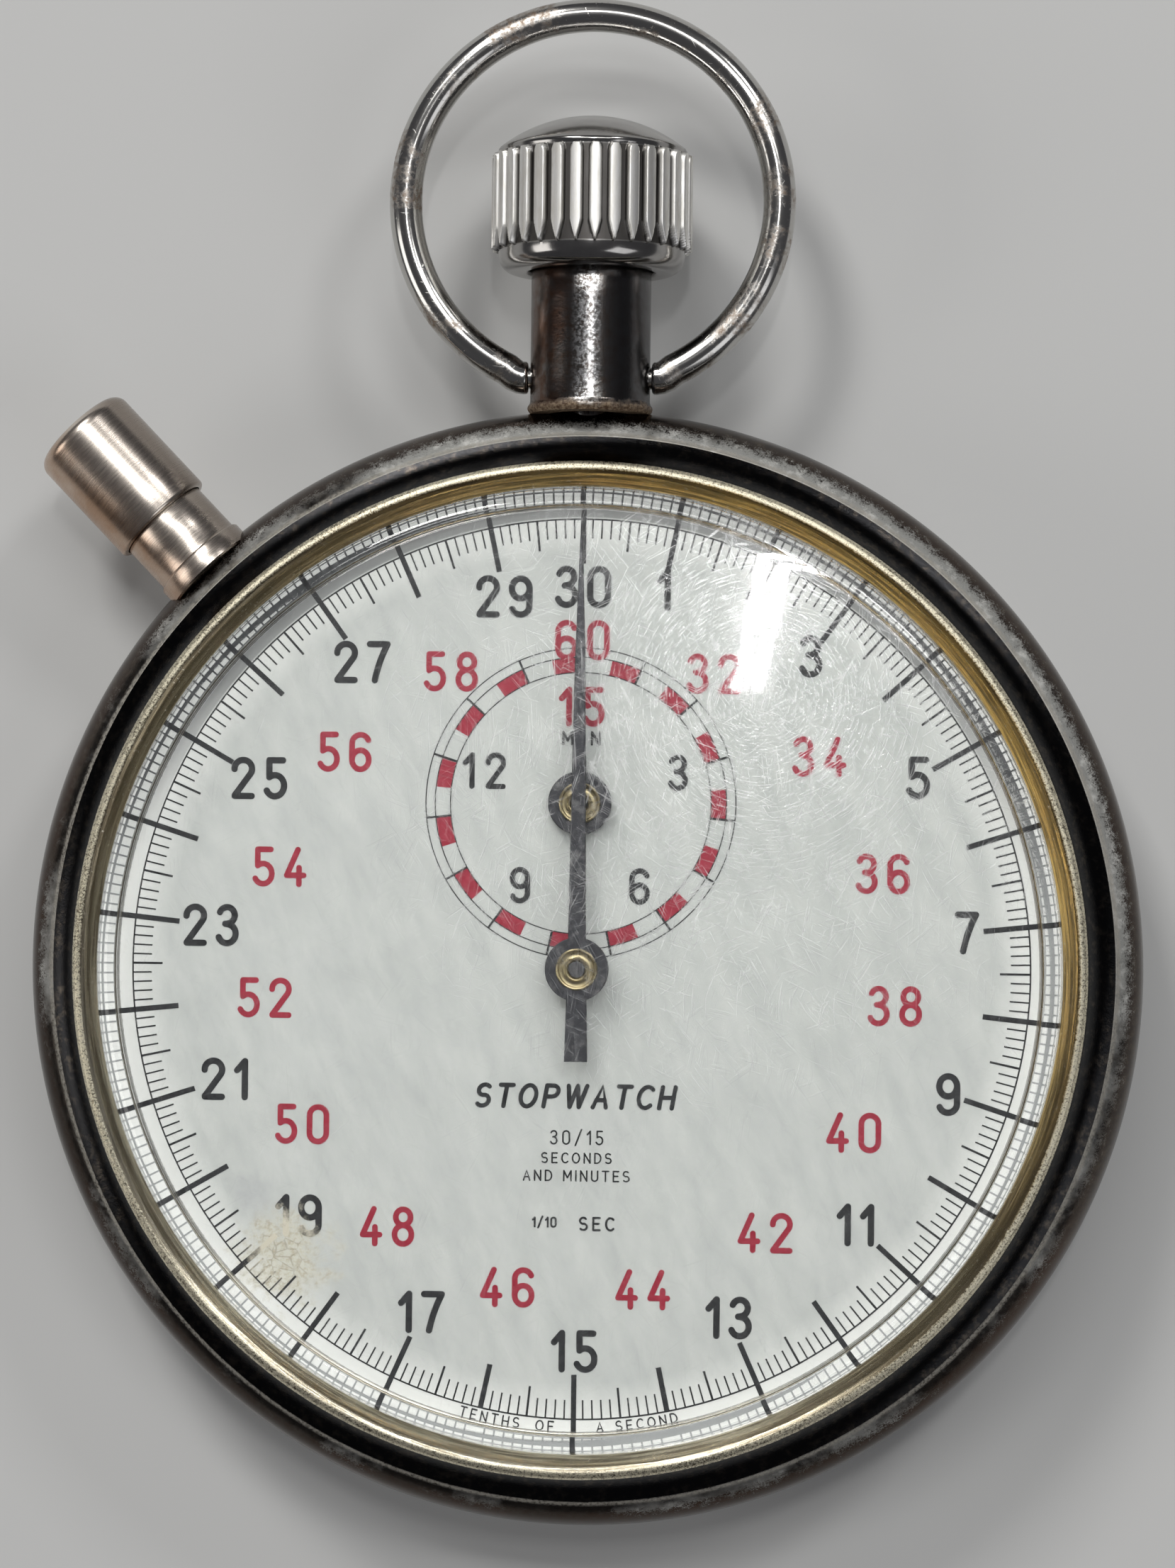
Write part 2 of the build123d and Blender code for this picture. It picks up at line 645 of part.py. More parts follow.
def crown_wheel_stud():
    """Shouldered screw that holds the crown wheel under its bridge."""
    body = screw(CROWN_WHEEL, 1.85, 1.5, head_r=0.95, shank_r=0.5)
    return body + cyl(0.9, 3.3, 3.92, CROWN_WHEEL) + cyl(1.3, 3.92, 4.15, CROWN_WHEEL)


def ratchet_wheel():
    wheel = gear(RATCHET_T, M_WINDING, 3.35, 3.75, BARREL, phase=PHASE_RATCHET)
    return wheel - slab(1.1, 1.1, 3, 4, BARREL)


def click():
    """Pawl that holds the ratchet wheel, with its nose just off the teeth."""
    nose = polar(6.2 + 0.34 + 0.05, -52, BARREL)
    body = strip([CLICK_PIVOT, nose], 0.6, 3.4, 3.75) + cyl(1.0, 3.4, 3.75, CLICK_PIVOT)
    return body - cyl(0.5 + RUN, 3, 5, CLICK_PIVOT)


def click_stud():
    body = screw(CLICK_PIVOT, 1.85, 1.0, head_r=0.85, shank_r=0.5)
    return body + cyl(0.5, 3.3, 3.8, CLICK_PIVOT) + cyl(0.85, 3.8, 4.0, CLICK_PIVOT)


# ================================================================ movement: going train


def barrel_drum():
    """Toothed drum that holds the mainspring."""
    drum = gear(BARREL_T, M_BARREL, 4.4, 4.9, BARREL, phase=PHASE_BARREL) + cyl(6.3, 4.4, 6.3, BARREL)
    return drum - cyl(5.9, 4.65, 7, BARREL) - cyl(0.8 + RUN, 4, 7, BARREL)


def barrel_cover():
    return ring(5.9, 0.8 + RUN, 6.0, 6.3, BARREL)


def barrel_arbor():
    """Arbor inside the drum, with a square for the ratchet wheel."""
    arbor = cyl(0.8, 2.35, 6.3, BARREL) + cyl(1.5, 4.7, 5.95, BARREL) + cyl(0.7, 6.3, 8.0, BARREL)
    waist = cyl(1.0, 3.35, 3.75, BARREL) - slab(1.1, 1.1, 3, 4, BARREL)
    return arbor - waist


def mainspring():
    return spiral_band(1.75, 5.65, 9, 0.16, 4.75, 5.9, BARREL)


def arbor(at, body_r, z0, z1, pivot=0.2):
    """Arbor with a thinner pivot at each end, in the bridge's and the plate's jewels."""
    return cyl(body_r, z0, z1, at) + cyl(pivot, z0 - 0.38, z1 + 0.38, at)


def second_wheel():
    wheel = gear(SECOND_T, M_SECOND, 6.35, 6.6, SECOND, phase=PHASE_SECOND)
    wheel -= windows(5.0, 1.2, 5, 6.35, 6.6, SECOND)
    return wheel + arbor(SECOND, 0.5, 3.34, 6.91) + gear(SECOND_P, M_BARREL, 4.3, 5.0, SECOND)


def third_wheel():
    wheel = gear(THIRD_T, M_THIRD, 5.45, 5.7, THIRD, phase=PHASE_THIRD)
    wheel -= windows(4.4, 1.1, 5, 5.45, 5.7, THIRD)
    return wheel + arbor(THIRD, 0.4, 3.34, 6.91) + gear(THIRD_P, M_SECOND, 6.2, 6.75, THIRD)


def seconds_wheel():
    wheel = gear(SECONDS_T, M_SECONDS, 4.3, 4.55, CENTRE)
    wheel -= windows(4.6, 1.1, 5, 4.3, 4.55, CENTRE)
    return wheel - cyl(0.5, 4, 5, CENTRE)


def seconds_arbor():
    """Long arbor through the movement, from the return heart up to the seconds hand."""
    body = cyl(0.4, 1.0, 3.5, CENTRE) + cyl(0.5, 3.34, 8.4, CENTRE) + cyl(0.36, 8.4, 10.3, CENTRE)
    return body + gear(SECONDS_P, M_THIRD, 5.25, 5.95, CENTRE)


def escape_wheel():
    """Wheel with fifteen slanted club teeth, and its pinion."""
    pitch = 360 / ESCAPE_T
    points = []
    for k in range(ESCAPE_T):
        for r, part in ((1.95, 0.0), (ESCAPE_R, 0.3), (ESCAPE_R - 0.06, 0.42), (1.95, 0.3)):
            points.append(polar(r, (k + part) * pitch))
    teeth = Pos(ESCAPE[0], ESCAPE[1], 5.45) * extrude(make_face(Polyline(*points, close=True)), 0.2)
    teeth -= windows(1.95, 0.7, 4, 5.45, 5.65, ESCAPE, rim=0.4, spoke_w=0.35)
    pinion = gear(ESCAPE_P, M_SECONDS, 4.0, 4.85, ESCAPE, phase=PHASE_ESCAPE_P, tip=0.2, foot=0.42)
    return teeth + arbor(ESCAPE, 0.3, 3.34, 6.91) + pinion


def pallet_fork():
    """Fork with its two pallet arms kept clear of the escape wheel, and a slot for the roller's pin."""
    z0, z1 = 5.45, 5.7
    to_wheel = bearing(FORK, ESCAPE)
    arms = []
    for side in (-1, 1):
        stone = polar(2.72 + 0.28, to_wheel + 180 + side * 38, ESCAPE)
        arms.append(strip([FORK, stone], 0.4, z0, z1))
    tip = polar(2.3, to_wheel + 180, FORK)
    body = arms[0] + arms[1] + strip([FORK, tip], 0.45, z0, z1) + cyl(0.55, z0, z1, tip)
    body -= slab(1.2, 0.4, z0 - 1, z1 + 1, polar(2.75, to_wheel + 180, FORK), to_wheel)
    return body + arbor(FORK, 0.35, 5.22, 6.91) + cyl(0.2, 4.8, 5.3, FORK)


def balance_wheel():
    """Balance with two arms, its staff and its roller with the impulse pin."""
    rim = ring(BALANCE_R, BALANCE_R - 0.65, 3.9, 4.35, BALANCE)
    line = bearing(FORK, BALANCE)
    arm = slab(2 * BALANCE_R - 0.6, 0.7, 3.95, 4.25, BALANCE, line + 90)
    staff = cyl(0.5, 3.6, 6.5, BALANCE) + cyl(0.2, 2.85, 7.3, BALANCE)
    roller = cyl(1.0, 5.0, 5.3, BALANCE)
    pin = cyl(0.12, 5.2, 5.65, polar(0.85, line + 180, BALANCE))
    return rim + arm + staff + roller + pin


def hairspring():
    return spiral_band(0.85, 2.9, 8, 0.07, 3.45, 3.6, BALANCE)


def regulator():
    """Index that sits round the balance jewel, under the cock."""
    tip = polar(5.0, bearing(BALANCE, COCK_FOOT) + 14, BALANCE)
    body = cyl(1.5, 2.05, 2.4, BALANCE) + strip([BALANCE, tip], 0.5, 2.05, 2.4)
    return body - cyl(0.85, 2, 3, BALANCE)


# ================================================================ movement: start, stop and reset


def operating_lever():
    """Lever that the stem presses, with a pawl at the column wheel."""
    z0, z1 = 5.6, 6.25
    nose, pawl = (0.3, 14.95), (-10.3, 8.9)
    body = strip([nose, OPERATING_PIVOT, pawl], 1.1, z0, z1) + cyl(1.2, z0, z1, OPERATING_PIVOT)
    return body - cyl(0.5 + RUN, z0 - 1, z1 + 1, OPERATING_PIVOT)


def column_wheel():
    """Ratchet disc with six columns standing on it."""
    pitch = 360 / 12
    points = []
    for k in range(12):
        points.append(polar(COLUMN_R, k * pitch))
        points.append(polar(COLUMN_R - 0.45, k * pitch + 4))
    disc = Pos(COLUMN[0], COLUMN[1], 5.6) * extrude(make_face(Polyline(*points, close=True)), 0.6)
    body = disc + cyl(0.95, 4.0, 5.7, COLUMN)
    for k in range(6):
        at = polar(1.35, 60 * k, COLUMN)
        body += slab(0.9, 0.55, 4.0, 5.7, at, 60 * k)
    return body - cyl(0.5 + RUN, 3, 7, COLUMN)


def column_jumper():
    """Spring blade beside the column wheel's ratchet teeth."""
    tip = polar(COLUMN_R + 0.42, -50, COLUMN)
    body = strip([tip, (-8.5, 1.3), JUMPER_FOOT], 0.6, 5.65, 6.15) + cyl(0.9, 5.65, PLATE_Z[0], JUMPER_FOOT)
    return body - cyl(0.4, 5, 7, JUMPER_FOOT)


def jumper_screw():
    return screw(JUMPER_FOOT, 5.2, 2.3)


def reset_hammer():
    """Reset lever: an upper arm at the pusher's stem and two lower arms over the return hearts."""
    upper = strip([HAMMER_PIVOT, PUSH_POINT], 1.2, 6.3, 6.8)
    minute_arm = strip([HAMMER_PIVOT, (-9.0, 9.0), (-4.5, 12.6), (-0.9, 12.2)], 1.1, 1.6, 2.1)
    seconds_arm = strip([HAMMER_PIVOT, (-8.0, 2.9), (-3.3, 2.4), (-1.2, 4.9), (0.5, 4.9)], 1.0, 1.6, 2.1)
    body = upper + minute_arm + seconds_arm + cyl(1.1, 1.6, 6.8, HAMMER_PIVOT)
    return body - cyl(0.5 + RUN, 1, 7, HAMMER_PIVOT)


def brake_lever():
    """Lever with a pad just off the balance rim and a tail towards the columns."""
    z0, z1 = 3.9, 4.4
    to_pad = bearing(BALANCE, (-15.0, -3.2))
    pad = polar(BALANCE_R + 0.4 + 0.06, to_pad, BALANCE)
    body = strip([pad, BRAKE_PIVOT, (-13.0, 2.2)], 0.8, z0, z1) + cyl(1.0, z0, 5.0, BRAKE_PIVOT)
    return body - cyl(0.5 + RUN, 3, 7, BRAKE_PIVOT)


def seconds_finger():
    """Single tooth on the seconds arbor that counts the turns."""
    body = strip([CENTRE, (3.2, 1.5)], 0.5, 1.15, 1.5) + cyl(1.0, 1.15, 1.5, CENTRE)
    return body - cyl(0.4, 1, 2, CENTRE)


def idler():
    return gear(IDLER_T, M_COUNTER, 1.15, 1.5, IDLER) + cyl(0.35, 1.0, 3.6, IDLER)


def minute_wheel():
    wheel = gear(COUNTER_T, M_COUNTER, 1.15, 1.5, MINUTE, phase=PHASE_MINUTE)
    return wheel - windows(3.0, 0.9, 4, 1.15, 1.5, MINUTE, rim=0.6, spoke_w=0.5) - cyl(0.4, 1, 2, MINUTE)


def minute_arbor():
    return cyl(0.4, 1.0, 3.5, MINUTE) + cyl(0.5, 3.34, 8.4, MINUTE) + cyl(0.36, 8.4, 9.6, MINUTE)


def minute_jumper():
    """Spring blade beside the counter wheel, riveted to the barrel bridge."""
    tip = polar(3.16 + 0.3 + 0.06, 20, MINUTE)
    foot = (5.7, 7.6)
    body = strip([tip, (4.6, 9.6), foot], 0.5, 1.15, 1.5) + cyl(0.8, 1.15, BRIDGE_Z[0], foot)
    return body + cyl(0.4, 2.2, 3.2, foot)


PIECES = {
    "case_band": case_band,
    "back_cover": back_cover,
    "bezel": bezel,
    "crystal": crystal,
    "pendant_tube": pendant_tube,
    "bow": bow,
    "crown": crown,
    "crown_stem": crown_stem,
    "crown_spring": crown_spring,
    "pusher_tube": pusher_tube,
    "pusher_cap": pusher_cap,
    "pusher_stem": pusher_stem,
    "pusher_spring": pusher_spring,
    "dial": dial,
    "seconds_hand": seconds_hand,
    "minute_hand": minute_hand,
    "seconds_boss": lambda: hand_boss(CENTRE, SECONDS_HAND_Z, 0.36),
    "minute_boss": lambda: hand_boss(MINUTE, MINUTE_HAND_Z, 0.36),
    "main_plate": main_plate,
    "barrel_bridge": barrel_bridge,
    "train_bridge": train_bridge,
    "balance_cock": balance_cock,
    "pallet_cock": pallet_cock,
    "jewels": jewels,
    "bridge_screws": bridge_screws,
    "case_screws": case_screws,
    "winding_pinion": winding_pinion,
    "crown_wheel": crown_wheel,
    "crown_wheel_stud": crown_wheel_stud,
    "ratchet_wheel": ratchet_wheel,
    "click": click,
    "click_stud": click_stud,
    "barrel_drum": barrel_drum,
    "barrel_cover": barrel_cover,
    "barrel_arbor": barrel_arbor,
    "mainspring": mainspring,
    "second_wheel": second_wheel,
    "third_wheel": third_wheel,
    "seconds_wheel": seconds_wheel,
    "seconds_arbor": seconds_arbor,
    "escape_wheel": escape_wheel,
    "pallet_fork": pallet_fork,
    "balance_wheel": balance_wheel,
    "hairspring": hairspring,
    "regulator": regulator,
    "operating_lever": operating_lever,
    "column_wheel": column_wheel,
    "column_jumper": column_jumper,
    "jumper_screw": jumper_screw,
    "reset_hammer": reset_hammer,
    "brake_lever": brake_lever,
    "seconds_heart": lambda: heart(0.6, 1.5, 1.6, 2.1, CENTRE, 0.4),
    "minute_heart": lambda: heart(0.6, 1.5, 1.6, 2.1, MINUTE, 0.4),
    "seconds_finger": seconds_finger,
    "idler": idler,
    "minute_wheel": minute_wheel,
    "minute_arbor": minute_arbor,
    "minute_jumper": minute_jumper,
}

for name, make in PIECES.items():
    save(name, make())
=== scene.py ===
"""Mechanical stopwatch: the detailed visible pieces, their materials, the light and the camera.

The frame is in metres. Numbers in this file are millimetres unless a name says otherwise.
"""

import math

import bmesh
import bpy
from mathutils import Matrix, Vector


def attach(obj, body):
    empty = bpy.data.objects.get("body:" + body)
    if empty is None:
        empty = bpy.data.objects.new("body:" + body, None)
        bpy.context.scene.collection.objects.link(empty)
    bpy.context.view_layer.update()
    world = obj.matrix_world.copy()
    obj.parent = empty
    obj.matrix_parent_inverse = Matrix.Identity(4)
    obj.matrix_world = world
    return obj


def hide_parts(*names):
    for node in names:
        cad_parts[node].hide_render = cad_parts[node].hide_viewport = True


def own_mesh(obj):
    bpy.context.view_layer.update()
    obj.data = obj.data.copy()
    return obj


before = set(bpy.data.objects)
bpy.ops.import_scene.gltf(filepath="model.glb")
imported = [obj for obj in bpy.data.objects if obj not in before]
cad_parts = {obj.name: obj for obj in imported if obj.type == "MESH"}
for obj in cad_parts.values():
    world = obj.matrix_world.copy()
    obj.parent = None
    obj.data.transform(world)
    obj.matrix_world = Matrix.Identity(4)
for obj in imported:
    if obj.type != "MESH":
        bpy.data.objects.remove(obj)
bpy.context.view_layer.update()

MM = 0.001
TAU = 2 * math.pi

# ---------------- sizes shared by several pieces, as in the model
MID_Z = 6.0  # height of the crown's and the pusher's axes over the back
DIAL_TOP = 8.85
DIAL_LOW = 8.45
DIAL_R = 21.9
SUB = (0.0, 7.45)  # centre of the small dial
ARBOR_HOLE_R = 0.9
INK_LOW, INK_HIGH = DIAL_TOP - 0.01, DIAL_TOP + 0.01
HAND_LOW = 10.05  # underside of the long hand
COUNTER_LOW = 9.35  # underside of the small hand
CROWN_LOW, CROWN_HIGH = 32.75, 37.25  # ends of the crown's flutes
STEM_BORES = (0.95, 0.75)  # holes in the band for the crown's and the pusher's stems
PUSHER_ANGLE = math.radians(44)
TO_CROWN = Matrix.Translation((0, 0, MID_Z * MM)) @ Matrix.Rotation(math.radians(-90), 4, "X")
TO_PUSHER = Matrix.Rotation(PUSHER_ANGLE, 4, "Z") @ TO_CROWN


# ================ mesh helpers
def arc(cx, cy, rx, ry, start, end, steps):
    """Points of an elliptical arc, with angles in degrees."""
    points = []
    for k in range(steps + 1):
        a = math.radians(start + (end - start) * k / steps)
        points.append((cx + rx * math.cos(a), cy + ry * math.sin(a)))
    return points


def circle(centre, r, steps):
    """Points of a full circle."""
    return arc(*centre, r, r, 0, 360, steps)[:-1]


def through(a, via, b, steps):
    """Points of the circular arc from a to b that passes through via, without a itself."""
    ax, ay, bx, by, cx, cy = *a, *via, *b
    d = 2 * (ax * (by - cy) + bx * (cy - ay) + cx * (ay - by))
    aa, bb, cc = ax * ax + ay * ay, bx * bx + by * by, cx * cx + cy * cy
    ux = (aa * (by - cy) + bb * (cy - ay) + cc * (ay - by)) / d
    uy = (aa * (cx - bx) + bb * (ax - cx) + cc * (bx - ax)) / d
    r = math.hypot(ax - ux, ay - uy)
    a0 = math.atan2(ay - uy, ax - ux)
    turn_via = (math.atan2(by - uy, bx - ux) - a0) % TAU
    turn_end = (math.atan2(cy - uy, cx - ux) - a0) % TAU
    sweep = turn_end if turn_via < turn_end else turn_end - TAU
    return [(ux + r * math.cos(a0 + sweep * k / steps), uy + r * math.sin(a0 + sweep * k / steps))
            for k in range(1, steps + 1)]


def dome(rim_r, rim_z, top_z, steps):
    """Points of a spherical dome's half section from just inside its rim to its top."""
    rise = top_z - rim_z
    radius = (rim_r ** 2 + rise ** 2) / (2 * rise)
    xs = [rim_r * (1 - k / steps) for k in range(1, steps + 1)]
    return [(x, top_z - radius + math.sqrt(radius ** 2 - x ** 2)) for x in xs]


def soften(points, radii, steps=5):
    """Rounds the corners of a line of points, apart from its ends. radii has one for each corner."""
    out = [points[0]]
    for before, p, after, r in zip(points, points[1:], points[2:], radii):
        p = Vector(p)
        back, on = Vector(before) - p, Vector(after) - p
        cut = min(r, back.length * 0.45, on.length * 0.45)
        a, b = p + back.normalized() * cut, p + on.normalized() * cut
        for k in range(steps + 1):
            t = k / steps
            out.append(tuple(a * (1 - t) ** 2 + p * 2 * t * (1 - t) + b * t * t))
    return out + [points[-1]]


def add_object(name, bm):
    """A linked object with the bmesh's shape."""
    mesh = bpy.data.meshes.new(name)
    bm.to_mesh(mesh)
    bm.free()
    obj = bpy.data.objects.new(name, mesh)
    bpy.context.scene.collection.objects.link(obj)
    return obj


def finish_object(name, bm, material, body, node=None, matrix=None, sharp=38):
    """Turns a bmesh in millimetres into a smooth-shaded object that rides on a body.

    Edges that bend more than sharp degrees stay sharp.
    """
    bmesh.ops.recalc_face_normals(bm, faces=bm.faces)
    bm.transform(Matrix.Scale(MM, 4))
    if matrix is not None:
        bm.transform(matrix)
    obj = add_object(name, bm)
    obj.data.shade_smooth()
    obj.data.set_sharp_from_angle(angle=math.radians(sharp))
    obj.data.materials.append(material)
    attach(obj, body)
    if node:
        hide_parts(node)
    return obj


def level(bm, points, z):
    """Vertices of an outline at one height."""
    return [bm.verts.new((x, y, z)) for x, y in points]


def skin(bm, loops, closed=False):
    """Joins each loop of vertices to the next with faces. A loop of one vertex is a tip."""
    for a, b in zip(loops, loops[1:] + loops[:1] * closed):
        count = max(len(a), len(b))
        for k in range(count):
            n = (k + 1) % count
            corners = dict.fromkeys((a[k % len(a)], a[n % len(a)], b[n % len(b)], b[k % len(b)]))
            if len(corners) > 2:
                bm.faces.new(tuple(corners))


def fill(bm, loops):
    """Closes the flat space between an outline and the holes in it."""
    edges = []
    for loop in loops:
        for a, b in zip(loop, loop[1:] + loop[:1]):
            edges.append(bm.edges.get((a, b)) or bm.edges.new((a, b)))
    bmesh.ops.triangle_fill(bm, use_beauty=True, use_dissolve=False, edges=edges)


def lathe_into(bm, profile, segments=256, closed=True, centre=(0, 0)):
    """Adds a turned surface: profile is (radius, height) points. A point at radius 0 is one vertex."""
    rows = []
    for r, h in profile:
        rows.append(level(bm, circle(centre, r, segments) if r > 1e-6 else [centre], h))
    skin(bm, rows, closed)


def lathe(name, profile, material, body, node, matrix=None, segments=256, closed=True, sharp=38):
    """A turned piece."""
    bm = bmesh.new()
    lathe_into(bm, profile, segments, closed)
    return finish_object(name, bm, material, body, node, matrix, sharp)


def tube_into(bm, path, radii, segments):
    """Adds a round tube along a path in the XY plane, with flat ends and a radius for each point."""
    up = Vector((0, 0, 1))
    rings = []
    for i, (p, r) in enumerate(zip(path, radii)):
        along = Vector(path[min(i + 1, len(path) - 1)]) - Vector(path[max(i - 1, 0)])
        side = up.cross(along.normalized()).normalized()
        turns = [TAU * k / segments for k in range(segments)]
        rings.append([bm.verts.new(Vector(p) + side * r * math.cos(a) + up * r * math.sin(a)) for a in turns])
    skin(bm, rings)
    bm.faces.new(rings[0])
    bm.faces.new(rings[-1])


def prism(bm, outline, z0, z1):
    """Adds an upright solid over an outline."""
    low, high = level(bm, outline, z0), level(bm, outline, z1)
    bm.faces.new(high)
    bm.faces.new(low[::-1])
    skin(bm, [low, high])


def band_between(bm, outer, inner, z0, z1):
    """Adds a flat closed band between two outlines."""
    skin(bm, [level(bm, outer, z1), level(bm, inner, z1), level(bm, inner, z0), level(bm, outer, z0)], True)


def bore(obj, matrix, radius, low, high):
    """Cuts a round hole along the axis that the matrix gives, from low to high."""
    bm = bmesh.new()
    lathe_into(bm, [(0, low), (radius, low), (radius, high), (0, high)], 48, closed=False)
    bmesh.ops.recalc_face_normals(bm, faces=bm.faces)
    bm.transform(matrix @ Matrix.Scale(MM, 4))
    cutter = add_object("cutter", bm)
    cut = obj.modifiers.new("bore", "BOOLEAN")
    cut.object, cut.operation, cut.solver = cutter, "DIFFERENCE", "EXACT"
    bpy.context.view_layer.update()
    result = bpy.data.meshes.new_from_object(obj.evaluated_get(bpy.context.evaluated_depsgraph_get()))
    obj.modifiers.remove(cut)
    result.name = obj.data.name + "_bored"
    obj.data = result
    bpy.data.meshes.remove(cutter.data)


# ================ lettering
DIGIT_W, DIGIT_H = 0.80, 1.63  # between the middles of the strokes


def glyph_strokes():
    """Middle lines of the figures and letters. A line whose ends meet is a closed one.

    Figures fill DIGIT_W by DIGIT_H. Letters are drawn one unit high and then scaled to DIGIT_H.
    """
    w, h = DIGIT_W, DIGIT_H
    m = w / 2
    six = [arc(m, 0.45, m, 0.45, 0, 360, 28), [(0.0, 0.45)] + arc(m, h - m, m, m, 180, 22, 14)]
    glyphs = {
        "0": [arc(m, h - m, m, m, 0, 180, 16) + arc(m, m, m, m, 180, 360, 16) + [(w, h - m)]],
        "1": [[(0.0, h - 0.42), (0.36, h)], [(0.36, h), (0.36, 0)]],
        "2": [arc(m, h - m, m, m, 182, -32, 18) + [(0.02, 0.02)], [(0.02, 0), (w, 0)]],
        "3": [arc(m - 0.02, h - 0.37, m - 0.05, 0.37, 158, -84, 18),
              arc(m - 0.02, 0.43, m, 0.43, 84, -158, 18), [(0.3, h - 0.755), (0.42, h - 0.755)]],
        "4": [[(0.52, h), (0.0, 0.42)], [(0.0, 0.42), (w, 0.42)], [(0.58, 0.78), (0.58, 0)]],
        "5": [[(0.72, h), (0.1, h)], [(0.1, h), (0.1, h - 0.68)],
              arc(m - 0.04, 0.48, m + 0.02, 0.48, 128, -152, 20)],
        "6": six,
        "7": [[(0.0, h), (w, h)], [(w, h)] + through((w, h), (0.46, 0.82), (0.24, 0.0), 8)],
        "8": [arc(m, h - 0.37, m - 0.05, 0.37, 0, 360, 28), arc(m, 0.44, m, 0.44, 0, 360, 28)],
        "9": [[(w - x, h - y) for x, y in points] for points in six],
    }
    stem = [(0, 0), (0, 1)]
    letters = {
        "A": [[(0, 0), (0.31, 1), (0.62, 0)], [(0.11, 0.34), (0.51, 0.34)]],
        "C": [arc(0.36, 0.5, 0.36, 0.5, 48, 312, 16)],
        "D": [stem, [(0, 1)] + arc(0.2, 0.5, 0.42, 0.5, 90, -90, 14) + [(0, 0)]],
        "E": [[(0.52, 1), (0, 1)], [(0, 1), (0, 0)], [(0, 0), (0.52, 0)], [(0, 0.52), (0.44, 0.52)]],
        "F": [[(0.52, 1), (0, 1)], [(0, 1), (0, 0)], [(0, 0.52), (0.44, 0.52)]],
        "H": [stem, [(0.6, 0), (0.6, 1)], [(0, 0.5), (0.6, 0.5)]],
        "I": [stem],
        "M": [stem, [(0, 1), (0.36, 0.3)], [(0.36, 0.3), (0.72, 1)], [(0.72, 1), (0.72, 0)]],
        "N": [stem, [(0, 1), (0.6, 0)], [(0.6, 0), (0.6, 1)]],
        "O": [arc(0.36, 0.5, 0.36, 0.5, 0, 360, 24)],
        "P": [stem, [(0, 1)] + arc(0.3, 0.74, 0.28, 0.26, 90, -90, 10) + [(0, 0.48)]],
        "S": [arc(0.3, 0.75, 0.27, 0.25, 40, 262, 12) + arc(0.3, 0.26, 0.29, 0.26, 78, -140, 12)],
        "T": [[(0, 1), (0.6, 1)], [(0.3, 1), (0.3, 0)]],
        "U": [[(0, 1)] + arc(0.3, 0.3, 0.3, 0.3, 180, 360, 12) + [(0.6, 1)]],
        "W": [[(0, 1), (0.22, 0)], [(0.22, 0), (0.44, 1)], [(0.44, 1), (0.66, 0)], [(0.66, 0), (0.88, 1)]],
        "/": [[(0, -0.1), (0.45, 1.1)]],
    }
    for key, strokes in letters.items():
        glyphs[key] = [[(x * h, y * h) for x, y in points] for points in strokes]
    return glyphs


GLYPHS = glyph_strokes()


def ribbon(bm, points, width, high):
    """Adds an inked stroke of constant width along a line of points, with round ends unless it is closed."""
    half = width / 2
    closed = math.dist(points[0], points[-1]) < 1e-4
    if closed:
        points = points[:-1]
    n = len(points)
    left, right = [], []
    for i, (x, y) in enumerate(points):
        a = points[i - 1] if closed or i > 0 else points[i]
        b = points[(i + 1) % n] if closed or i < n - 1 else points[i]
        tx, ty = b[0] - a[0], b[1] - a[1]
        length = math.hypot(tx, ty)
        nx, ny = -ty / length, tx / length
        left.append((x + nx * half, y + ny * half))
        right.append((x - nx * half, y - ny * half))
    if closed:
        band_between(bm, left, right, INK_LOW, high)
        return
    first, last = points[0], points[-1]
    end = math.degrees(math.atan2(left[-1][1] - last[1], left[-1][0] - last[0]))
    start = math.degrees(math.atan2(right[0][1] - first[1], right[0][0] - first[0]))
    outline = left + arc(*last, half, half, end, end - 180, 8)[1:-1]
    outline += right[::-1] + arc(*first, half, half, start, start - 180, 8)[1:-1]
    prism(bm, outline, INK_LOW, high)


def ink_span(char):
    """Leftmost and rightmost points of a character's middle lines."""
    xs = [x for points in GLYPHS[char] for x, _ in points]
    return min(xs), max(xs)


def advance(char, scale, stroke, gap):
    """Width that a character takes up, with the gap after it."""
    if char == " ":
        return gap * 2.2
    low, high = ink_span(char)
    return (high - low) * scale + stroke + gap


def write(bm, text, at, height, stroke, gap, turn=0.0, slant=0.0):
    """Adds lettering centred on a point. height is the ink's extent; turn is in degrees.

    Each stroke is a hair higher than the one before, so that strokes that cross don't share a face.
    """
    scale = (height - stroke) / DIGIT_H
    widths = [advance(char, scale, stroke, gap) for char in text]
    cursor = (gap - sum(widths)) / 2
    c, s = math.cos(math.radians(turn)), math.sin(math.radians(turn))
    lift, step, levels = 0, 0.0011, 7
    for char, width in zip(text, widths):
        for points in GLYPHS.get(char, ()):
            line = []
            for x, y in points:
                px = cursor + stroke / 2 + (x - ink_span(char)[0]) * scale + slant * y * scale
                py = y * scale - (height - stroke) / 2
                line.append((at[0] + px * c - py * s, at[1] + px * s + py * c))
            ribbon(bm, line, stroke, INK_HIGH + 0.004 + step * (lift % levels))
            lift += 1
        cursor += width


def write_round(bm, text, radius, middle, height, stroke, gap):
    """Adds lettering along a circle round the origin, upright at the bottom. middle is in degrees."""
    widths = [advance(char, (height - stroke) / DIGIT_H, stroke, gap) for char in text]
    angle = math.radians(middle) - sum(widths) / radius / 2
    for char, width in zip(text, widths):
        here = angle + width / radius / 2
        angle += width / radius
        if char != " ":
            at = (radius * math.cos(here), radius * math.sin(here))
            write(bm, char, at, height, stroke, gap, turn=math.degrees(here) + 90)


